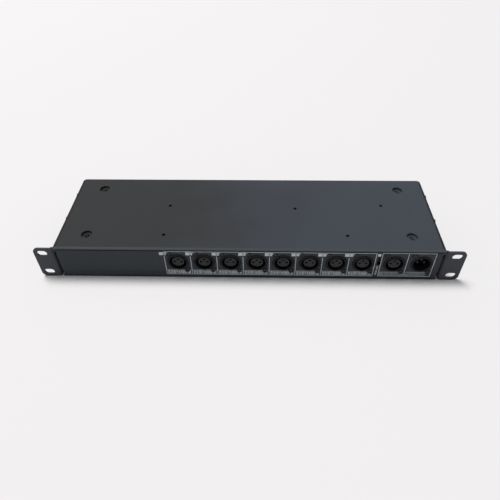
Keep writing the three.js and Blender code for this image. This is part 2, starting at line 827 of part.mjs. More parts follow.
function finnedHeatsink() {
  const half = heatsinkWidth / 2;
  const joined = [block(-half, half, -heatsinkDepth / 2, -heatsinkDepth / 2 + heatsinkBase,
    -heatsinkHeight, 0)];
  for (let fin = 0; fin < heatsinkFins; fin += 1) {
    const x = -half + fin * (heatsinkWidth - finThickness) / (heatsinkFins - 1);
    joined.push(block(x, x + finThickness, -heatsinkDepth / 2, heatsinkDepth / 2, -heatsinkHeight, 0));
  }
  const regulator = block(-regulatorWidth / 2, regulatorWidth / 2, -heatsinkDepth / 2 - regulatorThickness,
    -heatsinkDepth / 2 + bite, -regulatorDrop - regulatorHeight, -regulatorDrop);
  return carve([...joined, regulator]);
}

// Mains inlet: flange outside the rear wall, body through it, bevelled cavity with three blades
function cavityOutline() {
  const half = cavityWidth / 2;
  const rise = cavityHeight / 2;
  const outline = new THREE.Shape();
  outline.moveTo(inletX - half, inletCavityZ + rise);
  outline.lineTo(inletX - half, inletCavityZ - rise + cavityBevel);
  outline.lineTo(inletX - half + cavityBevel, inletCavityZ - rise);
  outline.lineTo(inletX + half - cavityBevel, inletCavityZ - rise);
  outline.lineTo(inletX + half, inletCavityZ - rise + cavityBevel);
  outline.lineTo(inletX + half, inletCavityZ + rise);
  return outline;
}

const bladePlaces = [[-bladeSpread, bladeOffset], [bladeSpread, bladeOffset], [0, -earthOffset]];

function mainsInlet() {
  const half = inletBodyWidth / 2;
  const rise = inletBodyHeight / 2;
  const outside = rearY + inletFlangeThickness;
  const flange = roundedRectangle(inletX, inletZ, inletFlangeWidth, inletFlangeHeight, inletFlangeCorner);
  const joined = [
    extrudeY(flange, rearY, outside, 3),
    block(inletX - half, inletX + half, inletBackY, rearY + 1, inletZ - rise, inletZ + rise),
  ];
  const removed = [extrudeY(cavityOutline(), outside - cavityDepth, outside + 1)];
  const pocketHalf = drawerWidth / 2 + seam;
  const pocketRise = drawerHeight / 2 + seam;
  removed.push(block(inletX - pocketHalf, inletX + pocketHalf, outside - drawerDepth - seam, outside + 1,
    drawerZ - pocketRise, drawerZ + pocketRise));
  for (const side of [-1, 1]) {
    removed.push(rodY(inletX + side * inletScrewSpan / 2, rearY - 1, outside + 1, inletZ,
      screwHole, holeSides));
  }
  const blades = bladePlaces.map(([dx, dz]) => block(
    inletX + dx - bladeWidth / 2, inletX + dx + bladeWidth / 2,
    inletBackY - tabTerminalLength, outside - bladeRecess,
    inletCavityZ + dz - bladeHeight / 2, inletCavityZ + dz + bladeHeight / 2,
  ));
  const bodies = carve(joined, removed);
  return carve([bodies, ...blades]);
}

function fuseDrawer() {
  const outside = rearY + inletFlangeThickness;
  const half = drawerWidth / 2;
  const rise = drawerHeight / 2;
  const left = inletX - half;
  const right = inletX + half;
  const face = block(left, right, outside - drawerFace, outside + drawerLip, drawerZ - rise, drawerZ + rise);
  const bed = block(left, right, outside - drawerDepth, outside - drawerFace / 2,
    drawerZ - rise, drawerZ + rise);
  const trough = block(left + drawerWall, right - drawerWall, outside - drawerDepth + drawerWall,
    outside - drawerFace, drawerZ - rise + drawerWall, drawerZ + rise + 1);
  return carve([face, bed], [trough]);
}

function glassFuse() {
  const outside = rearY + inletFlangeThickness;
  const y = outside - drawerFace - fuseWidth / 2 - 2 * seam;
  const z = drawerZ - drawerHeight / 2 + drawerWall + fuseWidth / 2;
  const end = fuseLength / 2;
  const glass = rodX(inletX - end + 1, inletX + end - 1, y, z, fuseWidth - 0.4, 12);
  const caps = [-1, 1].map((side) => rodX(inletX + side * (end - fuseCapLength), inletX + side * end, y, z,
    fuseWidth, 12));
  return carve([glass, ...caps]);
}

// Power rocker: frame clipped in the rear wall, and the rocker on its axle
function rockerFrame() {
  const outside = rearY + rockerFlangeThickness;
  const half = rockerBodyWidth / 2;
  const rise = rockerBodyHeight / 2;
  const flange = roundedRectangle(rockerX, rockerZ, rockerFlangeWidth, rockerFlangeHeight,
    rockerFlangeCorner);
  const joined = [
    extrudeY(flange, rearY, outside, 2),
    block(rockerX - half, rockerX + half, rockerBackY, rearY + 1, rockerZ - rise, rockerZ + rise),
  ];
  for (const step of [-1, 1]) {
    joined.push(block(rockerX - tabTerminalWidth / 2, rockerX + tabTerminalWidth / 2,
      rockerBackY - tabTerminalLength, rockerBackY + bite,
      rockerZ + (step * rockerTabPitch - tabTerminalThickness) / 2,
      rockerZ + (step * rockerTabPitch + tabTerminalThickness) / 2));
  }
  const pocketHalf = half - rockerWall;
  const pocketRise = rise - rockerWall;
  const pocket = block(rockerX - pocketHalf, rockerX + pocketHalf, outside - rockerPocketDepth, outside + 1,
    rockerZ - pocketRise, rockerZ + pocketRise);
  const axleHole = rodX(rockerX - pocketHalf - axleReach - seam, rockerX + pocketHalf + axleReach + seam,
    outside - rockerPivotInset, rockerZ, axleWidth + 2 * seam, axleSides);
  return carve(joined, [pocket, axleHole]);
}

function rockerButton() {
  const half = rockerBodyWidth / 2 - rockerWall - seam;
  const reach = rockerBodyHeight / 2 - rockerWall - rockerEndGap;
  const rim = rockerThickness - rockerRim;
  const outline = new THREE.Shape();
  outline.moveTo(rim, reach);
  outline.lineTo(rim - rockerNotch, 0);
  outline.lineTo(rim, -reach);
  outline.lineTo(0, -reach);
  outline.lineTo(-rockerHeel, -rockerHeelWidth / 2);
  outline.lineTo(-rockerHeel, rockerHeelWidth / 2);
  outline.lineTo(0, reach);
  const axle = rodX(-half - seam - axleReach, half + seam + axleReach, 0, 0, axleWidth, axleSides);
  return carve([extrudeX(outline, -half, half), axle]);
}

// One insulated lead along a smooth line through the points
function lead(points) {
  const stops = points.map((point) => new THREE.Vector3(...point));
  const path = new THREE.CatmullRomCurve3(stops, false, 'centripetal');
  const section = new THREE.Shape();
  for (let side = 0; side < leadSides; side += 1) {
    const angle = (2 * Math.PI * side) / leadSides;
    const x = (leadWidth / 2) * Math.cos(angle);
    const y = (leadWidth / 2) * Math.sin(angle);
    if (side === 0) section.moveTo(x, y);
    else section.lineTo(x, y);
  }
  const steps = Math.max(8, Math.round(path.getLength() / (2.5 * leadWidth)));
  return carve([new THREE.ExtrudeGeometry(section, { steps, extrudePath: path, bevelEnabled: false })]);
}

function leadRoutes() {
  const inletTabY = inletBackY - tabTerminalLength - seam;
  const rockerTabY = rockerBackY - tabTerminalLength - seam;
  const blockX = boardLeft - seam;
  const aisleY = frontY + coreInset + coreDepth / 2 + leadAisle;
  const upperZ = rockerZ + rockerTabPitch / 2;
  const lowerZ = rockerZ - rockerTabPitch / 2;
  const bladeZ = inletCavityZ + bladeOffset;
  const earthZ = inletCavityZ - earthOffset;
  const postSideX = earthPostX + earthPostWidth / 2 + seam;
  const postZ = plateInnerZ - earthPostLength / 2;
  return {
    lead_live: [
      [inletX + bladeSpread, inletTabY, bladeZ],
      [inletX + bladeSpread, inletTabY - leadStub, bladeZ],
      [inletX + leadBow, inletTabY - leadBend, bladeZ - leadDrop],
      [rockerX - leadStub, rockerTabY - leadBend, lowerZ - leadDrop],
      [rockerX, rockerTabY - leadStub, lowerZ],
      [rockerX, rockerTabY, lowerZ],
    ],
    lead_switched: [
      [rockerX, rockerTabY, upperZ],
      [rockerX, rockerTabY - leadStub, upperZ],
      [rockerX - leadBend, rockerTabY - leadSweep, upperZ],
      [blockX - leadBend, aisleY + leadWidth, terminalZ - leadDrop],
      [blockX - leadBend, terminalY + 2 * terminalPitch, terminalZ],
      [blockX - leadStub, terminalY + terminalPitch, terminalZ],
      [blockX, terminalY + terminalPitch, terminalZ],
    ],
    lead_neutral: [
      [inletX - bladeSpread, inletTabY, bladeZ],
      [inletX - bladeSpread, inletTabY - leadStub, bladeZ],
      [blockX - leadSweep, aisleY, terminalZ - 2 * leadDrop],
      [blockX - leadSweep, terminalY + terminalPitch, terminalZ],
      [blockX - leadStub, terminalY, terminalZ],
      [blockX, terminalY, terminalZ],
    ],
    lead_earth: [
      [inletX, inletTabY, earthZ],
      [inletX, inletTabY - leadStub, earthZ],
      [inletX - leadSweep, inletTabY - leadBend, earthZ + leadDrop],
      [postSideX + leadStub, earthPostY - leadDrop, postZ - leadDrop],
      [postSideX, earthPostY, postZ],
    ],
  };
}

// Assembly
place('chassis_tray', chassisTray(), blackPaint);
place('lid', lidCover(), blackPaint);
place('ear_left', rackEar(-1), earPaint);
place('ear_right', rackEar(1), earPaint);

for (const { name, x } of femaleSockets) {
  place(`${name}_housing`, femaleHousing(), blackPlastic, x, 0, socketHeight);
  place(`${name}_insert`, femaleInsert(), blackPlastic, x, 0, socketHeight);
  place(`${name}_latch`, latchTab(), latchPlastic, x, 0, socketHeight);
}
place('input_housing', carve(socketShell(), socketHollows()), blackPlastic, inputX, 0, socketHeight);
place('input_pin_carrier', maleCarrier(), blackPlastic, inputX, 0, socketHeight);

place('termination_switch_body', switchBody(), blackPlastic, switchX, 0, switchZ);
place('termination_switch_slider', switchSlider(), latchPlastic, switchX, 0, switchZ);

place('main_board', mainBoard(), boardGreen);
const coilZ = boardUnderZ - coilHeight / 2;
const coreX = boardLeft + coreOffset;
place('transformer_core', transformerCore(), coreSteel, coreX, frontY + coreInset, coilZ);
place('transformer_coil', transformerCoil(), coilTape, coreX, frontY + coreInset, coilZ);
place('smoothing_capacitor', smoothingCapacitor(), capacitorSleeve, boardLeft + capacitorOffset,
  frontY + capacitorInset, boardUnderZ - capacitorHeight);
place('regulator_heatsink', finnedHeatsink(), bareAluminium, boardLeft + heatsinkOffset,
  frontY + heatsinkInset, boardUnderZ);

place('mains_inlet', mainsInlet(), blackPlastic);
place('fuse_drawer', fuseDrawer(), blackPlastic);
place('fuse', glassFuse(), fuseGlass);
place('rocker_frame', rockerFrame(), blackPlastic);
const rocker = place('power_rocker', rockerButton(), latchPlastic, rockerX,
  rearY + rockerFlangeThickness - rockerPivotInset, rockerZ);
rocker.rotation.x = THREE.MathUtils.degToRad(-rockerTilt);

for (const [sideName, side] of [['left', -1], ['right', 1]]) {
  const turn = side * -Math.PI / 2;
  lidScrewInsets.forEach((inset, index) => {
    const screw = place(`lid_screw_${sideName}_${index + 1}`, carve([panScrew(screwReach)]), blackScrew,
      side * trayHalfWidth, frontY + inset, lidScrewZ);
    screw.geometry.rotateZ(turn);
  });
  [-1, 1].forEach((rise, index) => {
    const shape = carve([panScrew(screwReach + earSheet)]);
    const screw = place(`ear_screw_${sideName}_${index + 1}`, shape, blackScrew,
      side * (caseWidth / 2 + earSheet), frontY + earScrewInset, caseHeight / 2 + rise * earScrewPitch / 2);
    screw.geometry.rotateZ(turn);
  });
  place(`inlet_screw_${sideName}`, carve([panScrew(screwReach + inletFlangeThickness)]), blackScrew,
    inletX + side * inletScrewSpan / 2, rearY + inletFlangeThickness, inletZ);
}

const routes = leadRoutes();
for (const [name, points] of Object.entries(routes)) {
  const colour = leadColours[name.replace('lead_', '')];
  place(name, lead(points), { color: colour, roughness: 0.5, metalness: 0 });
}

export default unit;
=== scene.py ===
"""Rack-mount DMX splitter, lying on its lid with the underside up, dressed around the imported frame."""

import json
import math

import bmesh
import bpy
from mathutils import Matrix, Vector

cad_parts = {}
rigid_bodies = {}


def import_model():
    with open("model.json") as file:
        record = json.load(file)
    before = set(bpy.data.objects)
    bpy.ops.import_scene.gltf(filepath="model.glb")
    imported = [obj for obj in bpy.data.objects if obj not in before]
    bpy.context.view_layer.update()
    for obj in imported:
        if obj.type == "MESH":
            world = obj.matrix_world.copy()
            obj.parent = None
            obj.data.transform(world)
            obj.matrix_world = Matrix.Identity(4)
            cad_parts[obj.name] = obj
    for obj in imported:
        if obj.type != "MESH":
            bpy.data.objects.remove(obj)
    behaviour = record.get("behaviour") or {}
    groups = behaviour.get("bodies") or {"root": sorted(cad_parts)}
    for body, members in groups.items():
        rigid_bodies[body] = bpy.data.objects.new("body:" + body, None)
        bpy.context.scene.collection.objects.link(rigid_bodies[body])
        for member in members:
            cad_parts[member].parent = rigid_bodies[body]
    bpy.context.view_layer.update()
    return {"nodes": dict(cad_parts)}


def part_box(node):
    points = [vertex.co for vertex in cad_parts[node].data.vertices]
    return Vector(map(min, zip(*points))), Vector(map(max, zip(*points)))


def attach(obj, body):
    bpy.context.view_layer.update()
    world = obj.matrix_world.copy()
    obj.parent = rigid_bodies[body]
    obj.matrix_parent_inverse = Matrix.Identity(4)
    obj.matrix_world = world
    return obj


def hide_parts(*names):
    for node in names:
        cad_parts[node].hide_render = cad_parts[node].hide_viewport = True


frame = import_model()
nodes = frame["nodes"]

MM = 0.001

# Case sheet, in millimetres
SHEET = 1.2
FOLD_RADIUS = 3.6
REAR_FOLD_RADIUS = 1.2
SIDE_FOLD_RADIUS = 0.5
REAR_CORNER = 4
LID_FOLD_RADIUS = 1.8
LIP_LENGTH = 9
SIDE_FLANGE = 12
SEAM = 0.3
PANEL_LINE = (0.9, 1.5)
SIDE_LINE = (2.2, 2.4)
SIDE_BRIDGES = 3
EAR_SHEET = 2
EAR_FOLD_RADIUS = 3.2
EAR_CORNER = 6
EAR_RELIEF = {-1: 1.2, 1: 4}
EAR_RETURN = 25
RACK_WIDTH = 482.6
SLOT_SPAN = 463.4
SLOT_PITCH = 29
SLOT_LENGTH = 11.5
SLOT_WIDTH = 7.6
EAR_SCREW_INSET = 16
EAR_SCREW_PITCH = 20
EAR_TAB_MARGIN = 5
LID_SCREW_INSETS = (58, 104)
LID_SCREW_DROP = 5.4
SCREW_HOLE = 3.6
SCREW_REACH = 4.5
# Place and width of the painted highlight strip on the plate just behind the front fold
HIGHLIGHT_PLACE = 2.4
HIGHLIGHT_WIDTH = 2.2

# Underside
DIMPLE_WIDTH = 12.6
DIMPLE_DEPTH = 3
DIMPLE_TAPER = 1.4
DIMPLE_HOLE = 2.2
DIMPLE_SPREAD = 372
DIMPLE_INSETS = (25, 111.5)
STANDOFFS = ((-96.7, 77.8), (-96.7, 25.1), (55.7, 73.8), (160, 80.3), (113.3, 25.6))
STANDOFF_WIDTH = 6
STANDOFF_BORE = 4
STANDOFF_LENGTH = 5

# Sockets: the axis of each one along the panel
SOCKET_Z = 24.9
OUTPUTS = {f"output_{number}": 129.8 - (number - 1) * 29.83 for number in range(1, 9)}
FEMALES = {**OUTPUTS, "thru": 164.7}
INPUT_X = 194.9
NOSE_WIDTH = 24
NOSE_PROUD = 0.8
BORE_WIDTH = 19.4
FLANGE_WIDTH = 26
FLANGE_HEIGHT = 31
FLANGE_THICKNESS = 2.4
BARREL_WIDTH = 22.2
BARREL_LENGTH = 16
BARREL_FLOOR = 3
SCREW_PLACES = ((-9.5, 12), (9.5, -12))
INSERT_WIDTH = 14.2
INSERT_RECESS = 0.8
CONTACTS = ((-3.8, 0), (3.8, 0), (0, 3.8))
CONTACT_BORE = 2.6
CONTACT_DEPTH = 9
PIN_WIDTH = 2.4
LATCH_WIDTH = 6
LATCH_THICKNESS = 1.1
LATCH_LENGTH = 5.6
LATCH_TRAVEL = 1.5
LATCH_PROUD = 0.15
LATCH_WALL = 0.6

# Termination switch
SWITCH_X = 147.2
SWITCH_Z = 29
SWITCH_SLOT = (3.9, 12)
SLIDER_HEIGHT = 5.2
SLIDER_PROUD = 0.6

# Print on the panel
LINE_WIDTH = 0.6
CELL_START = -93.7
CELL_PITCH = 29.58

# Mains inlet and rocker on the rear wall
INLET_X = -150
INLET_Z = 22
INLET_FLANGE = (50, 32, 2.4)
INLET_BODY = (27.6, 29, 22)
INLET_SCREW_SPAN = 40
CAVITY = (24.4, 16.6, 16)
CAVITY_BEVEL = 4.6
CAVITY_Z = 17
DRAWER = (24, 7.4, 12)
DRAWER_Z = 31.2
DRAWER_LIP = 1
ROCKER_X = -100
ROCKER_Z = 22
ROCKER_FLANGE = (15, 23, 1.8)
ROCKER_BODY = (13, 21, 14)
ROCKER_WALL = 1.1
ROCKER_PIVOT_INSET = 2.2
ROCKER_TILT = 10
TAB_LENGTH = 7

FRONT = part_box("chassis_tray")[0].y / MM
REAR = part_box("chassis_tray")[1].y / MM
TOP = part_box("chassis_tray")[1].z / MM
TRAY_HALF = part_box("chassis_tray")[1].x / MM
LID_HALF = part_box("lid")[1].x / MM
CASE_HALF = TRAY_HALF + SEAM
PANEL_HALF = LID_HALF - SHEET - SEAM
PANEL_BACK = FRONT + SHEET
BARREL_BACK = PANEL_BACK + FLANGE_THICKNESS + BARREL_LENGTH
BORE_FLOOR = BARREL_BACK - BARREL_FLOOR
BOARD_TOP = TOP - SHEET - STANDOFF_LENGTH


def colour(hex_code):
    """Linear RGBA from an sRGB hex value."""
    parts = [int(hex_code[i : i + 2], 16) / 255 for i in (0, 2, 4)]
    linear = [p / 12.92 if p <= 0.04045 else ((p + 0.055) / 1.055) ** 2.4 for p in parts]
    return (*linear, 1.0)


def add_node(tree, kind, settings=None, inputs=None):
    """Adds one node; inputs maps a socket to a value or to another node's output."""
    made = tree.nodes.new(kind)
    for name, value in (settings or {}).items():
        setattr(made, name, value)
    for name, value in (inputs or {}).items():
        if isinstance(value, bpy.types.NodeSocket):
            tree.links.new(value, made.inputs[name])
        else:
            made.inputs[name].default_value = value
    return made


def new_material(name):
    """An empty node material with its Principled shader and Object coordinates."""
    material = bpy.data.materials.new(name)
    material.use_nodes = True
    tree = material.node_tree
    shader = tree.nodes["Principled BSDF"]
    place = add_node(tree, "ShaderNodeTexCoord").outputs["Object"]
    return material, tree, shader, place


def camera_like_the_photograph():
    """A camera at the photograph's place: fitted to the ears, slots, case corners and sockets."""
    focal_share = 472.54 / 500
    pitch, yaw, roll = 0.76964, -0.037388, -0.017
    place = Vector((16.98, -439.51, 407.17)) * MM
    forward = Vector((math.sin(yaw) * math.cos(pitch), math.cos(yaw) * math.cos(pitch), -math.sin(pitch)))
    right = Vector((math.cos(yaw), -math.sin(yaw), 0))
    up = right.cross(forward)
    level_right = right * math.cos(roll) + up * math.sin(roll)
    level_up = up * math.cos(roll) - right * math.sin(roll)
    turn = Matrix((level_right, level_up, -forward)).transposed()
    data = bpy.data.cameras.new("photo_camera")
    data.sensor_width = 36
    data.lens = focal_share * data.sensor_width
    camera = bpy.data.objects.new("photo_camera", data)
    camera.matrix_world = Matrix.Translation(place) @ turn.to_4x4()
    bpy.context.scene.collection.objects.link(camera)
    bpy.context.scene.camera = camera


def studio():
    """Pale floor, one large soft lamp high behind on the left, and a weak even sky."""
    world = bpy.data.worlds.new("studio")
    world.use_nodes = True
    tree = world.node_tree
    strength = add_node(tree, "ShaderNodeMapRange", inputs={
        "Value": seen_directly(tree), "To Min": 0.17, "To Max": 1.0}).outputs["Result"]
    backdrop = tree.nodes["Background"]
    backdrop.inputs["Color"].default_value = colour("fbfbfc")
    tree.links.new(strength, backdrop.inputs["Strength"])
    bpy.context.scene.world = world

    bpy.ops.mesh.primitive_plane_add(size=9)
    floor = bpy.context.active_object
    floor.name = "studio_floor"
    material = bpy.data.materials.new("pale studio floor")
    material.use_nodes = True
    tree = material.node_tree
    tree.nodes.remove(tree.nodes["Principled BSDF"])
    lift = add_node(tree, "ShaderNodeMath", {"operation": "MULTIPLY"}, {
        0: seen_directly(tree), 1: 0.04}).outputs[0]
    sheet = add_node(tree, "ShaderNodeBsdfDiffuse", inputs={"Color": colour("f8f6f7")})
    glow = add_node(tree, "ShaderNodeEmission", inputs={"Color": colour("ffffff"), "Strength": lift})
    both = add_node(tree, "ShaderNodeAddShader", inputs={0: sheet.outputs[0], 1: glow.outputs[0]})
    tree.links.new(both.outputs[0], tree.nodes["Material Output"].inputs["Surface"])
    floor.data.materials.append(material)

    lamps = (
        ("key", (-3.1, 2.3, 12), 4.8, 1290),
    )
    for name, place, size, power in lamps:
        data = bpy.data.lights.new(name, "AREA")
        data.size = size
        data.energy = power
        lamp = bpy.data.objects.new(name, data)
        lamp.location = place
        lamp.rotation_euler = (-Vector(place)).to_track_quat("-Z", "Y").to_euler()
        bpy.context.scene.collection.objects.link(lamp)


def seen_directly(tree):
    """1 for a ray from the camera, a mirror or a clear piece, and 0 for diffuse light."""
    path = add_node(tree, "ShaderNodeLightPath")
    bright = add_node(tree, "ShaderNodeMath", {"operation": "MAXIMUM"}, {
        0: path.outputs["Is Camera Ray"], 1: path.outputs["Is Glossy Ray"]}).outputs[0]
    return add_node(tree, "ShaderNodeMath", {"operation": "MAXIMUM"}, {
        0: bright, 1: path.outputs["Is Transmission Ray"]}).outputs[0]


# Modelling helpers


def choose(piece):
    """Leaves only this piece selected and active."""
    bpy.ops.object.select_all(action="DESELECT")
    piece.select_set(True)
    bpy.context.view_layer.objects.active = piece


def edit(piece):
    choose(piece)
    bpy.ops.object.mode_set(mode="EDIT")
    bpy.ops.mesh.select_all(action="DESELECT")


def done():
    bpy.ops.object.mode_set(mode="OBJECT")


def pick_faces(piece, test):
    """Selects the faces whose centre (mm) and normal pass the test."""
    bpy.ops.mesh.select_mode(type="FACE")
    mesh = bmesh.from_edit_mesh(piece.data)
    for face in mesh.faces:
        face.select_set(bool(test(face.calc_center_median() / MM, face.normal)))
    bmesh.update_edit_mesh(piece.data)


def pick_edges(piece, test):
    """Selects the edges whose two ends (mm) pass the test."""
    bpy.ops.mesh.select_mode(type="EDGE")
    mesh = bmesh.from_edit_mesh(piece.data)
    for line in mesh.edges:
        line.select_set(bool(test(line.verts[0].co / MM, line.verts[1].co / MM)))
    mesh.select_flush_mode()
    bmesh.update_edit_mesh(piece.data)


def settle(piece, name=None):
    """Puts the piece's place into its mesh, so its object sits at the origin."""
    choose(piece)
    bpy.ops.object.transform_apply(location=True, rotation=True, scale=True)
    return named(piece, name) if name else piece


def box_piece(name, x0, x1, y0, y1, z0, z1):
    """A block between two corners, in millimetres."""
    middle = Vector(((x0 + x1) / 2, (y0 + y1) / 2, (z0 + z1) / 2)) * MM
    size = Vector((abs(x1 - x0), abs(y1 - y0), abs(z1 - z0))) * MM
    bpy.ops.mesh.primitive_cube_add(size=1, location=middle)
    block = bpy.context.active_object
    block.scale = size
    return settle(block, name)


def plane_piece(name, middle, width, height, tilt=0):
    """A flat sheet around its middle, in millimetres, tilted about X."""
    bpy.ops.mesh.primitive_plane_add(size=1, location=Vector(middle) * MM, rotation=(tilt, 0, 0))
    sheet = bpy.context.active_object
    sheet.scale = (width * MM, height * MM, 1)
    return settle(sheet, name)


ALONG = {"X": (0, math.pi / 2, 0), "Y": (math.pi / 2, 0, 0), "Z": (0, 0, 0)}


def rod_piece(name, axis, start, end, centre, width, sides=48, end_width=None):
    """A round bar along an axis; centre holds the other two coordinates, in millimetres."""
    length = abs(end - start)
    middle = (start + end) / 2
    place = {"X": (middle, *centre), "Y": (centre[0], middle, centre[1]), "Z": (*centre, middle)}[axis]
    low_width, high_width = (width, end_width) if end_width is not None else (width, width)
    if axis == "Y":
        low_width, high_width = high_width, low_width
    bpy.ops.mesh.primitive_cone_add(
        vertices=sides, radius1=low_width / 2 * MM, radius2=high_width / 2 * MM, depth=length * MM,
        location=Vector(place) * MM, rotation=ALONG[axis])
    return settle(bpy.context.active_object, name)


def apply_modifiers(piece):
    choose(piece)
    for modifier in list(piece.modifiers):
        bpy.ops.object.modifier_apply(modifier=modifier.name)


def combine(piece, others, operation):
    """Cuts the others out of the piece, or adds them to it, and removes them."""
    for other in others:
        modifier = piece.modifiers.new("combine", "BOOLEAN")
        modifier.operation = operation
        modifier.solver = "EXACT"
        modifier.use_self = True
        modifier.object = other
        apply_modifiers(piece)
        bpy.data.objects.remove(other)
    return piece


def joined(pieces):
    """Several separate cutters as one object, so one boolean takes them all."""
    bpy.ops.object.select_all(action="DESELECT")
    for piece in pieces:
        piece.select_set(True)
    bpy.context.view_layer.objects.active = pieces[0]
    bpy.ops.object.join()
    return bpy.context.active_object


def soften(piece, width, segments=2, angle=40):
    """Rounds the sharp edges by a few tenths of a millimetre."""
    bevel = piece.modifiers.new("soften", "BEVEL")
    bevel.width = width * MM
    bevel.segments = segments
    bevel.limit_method = "ANGLE"
    bevel.angle_limit = math.radians(angle)
    bevel.use_clamp_overlap = True
    bevel.harden_normals = False
    apply_modifiers(piece)
    return piece


def smooth(piece, angle=35):
    choose(piece)
    bpy.ops.object.shade_smooth_by_angle(angle=math.radians(angle))
    return piece


def steady(piece):
    """Lets the large flat faces keep their own normals beside the rounded folds."""
    weighted = piece.modifiers.new("steady", "WEIGHTED_NORMAL")
    weighted.keep_sharp = True
    apply_modifiers(piece)
    return piece


def named(piece, name):
    piece.name = name
    piece.data.name = name
    return piece


def drawn_line(name, points):
    """A chain of vertices through the points, drawn one after the other and left selected in edit mode."""
    bpy.ops.object.select_all(action="DESELECT")
    bpy.ops.mesh.primitive_plane_add(size=1)
    piece = bpy.context.active_object
    piece.name = name
    bpy.ops.object.mode_set(mode="EDIT")
    bpy.ops.mesh.select_mode(type="VERT")
    bpy.ops.mesh.select_all(action="SELECT")
    bpy.ops.mesh.merge(type="CENTER")
    bpy.ops.transform.translate(value=Vector(points[0]) * MM)
    for here, there in zip(points, points[1:]):
        bpy.ops.mesh.extrude_vertices_move(
            TRANSFORM_OT_translate={"value": (Vector(there) - Vector(here)) * MM})
    bpy.ops.mesh.select_all(action="SELECT")
    return piece


def turned_piece(name, profile, centre=(0, 0), sides=64):
    """A form turned around an axis along Y, from a profile of (radius, y) points."""
    x, z = centre
    piece = drawn_line(name, [(x + radius, y, z) for radius, y in profile])
    bpy.ops.mesh.spin(steps=sides, angle=2 * math.pi, center=(x * MM, 0, z * MM), axis=(0, 1, 0))
    bpy.ops.mesh.select_all(action="SELECT")
    bpy.ops.mesh.remove_doubles(threshold=0.001 * MM)
    bpy.ops.mesh.normals_make_consistent(inside=False)
    done()
    return piece


def drawn_block(name, outline, axis, start, end):
    """A block whose outline is drawn in the other two axes and then extruded from start to end."""
    spot = {"X": lambda a, b: (start, a, b), "Y": lambda a, b: (a, start, b)}[axis]
    piece = drawn_line(name, [spot(a, b) for a, b in outline])
    bpy.ops.mesh.edge_face_add()
    run = {"X": (end - start, 0, 0), "Y": (0, end - start, 0)}[axis]
    bpy.ops.mesh.extrude_region_move(TRANSFORM_OT_translate={"value": Vector(run) * MM})
    bpy.ops.mesh.select_all(action="SELECT")
    bpy.ops.mesh.normals_make_consistent(inside=False)
    done()
    return piece


def plate_piece(name, x, z, width, height, y0, y1, corner, steps=6):
    """An upright plate, its corners rounded in outline."""
    plate = box_piece(name, x - width / 2, x + width / 2, y0, y1, z - height / 2, z + height / 2)
    edit(plate)
    pick_edges(plate, lambda a, b: abs(a.x - b.x) < 0.01 and abs(a.z - b.z) < 0.01)
    bpy.ops.mesh.bevel(offset=corner * MM, segments=steps, affect="EDGES")
    done()
    return plate


def copy_piece(piece, name, x, y, z, turn=0):
    """A copy with its own mesh, turned about the upright axis and moved by millimetres."""
    made = bpy.data.objects.new(name, piece.data.copy())
    bpy.context.scene.collection.objects.link(made)
    made.data.transform(Matrix.Translation(Vector((x, y, z)) * MM) @ Matrix.Rotation(turn, 4, "Z"))
    made.data.name = name
    return made


def discard(*pieces):
    for piece in pieces:
        bpy.data.objects.remove(piece)


def dress(piece, material, body="case", replaced=()):
    """Gives a finished piece its material, its body and the CAD nodes that it stands for."""
    piece.data.materials.clear()
    piece.data.materials.append(material)
    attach(piece, body)
    if replaced:
        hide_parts(*replaced)
    return piece


# Finishes


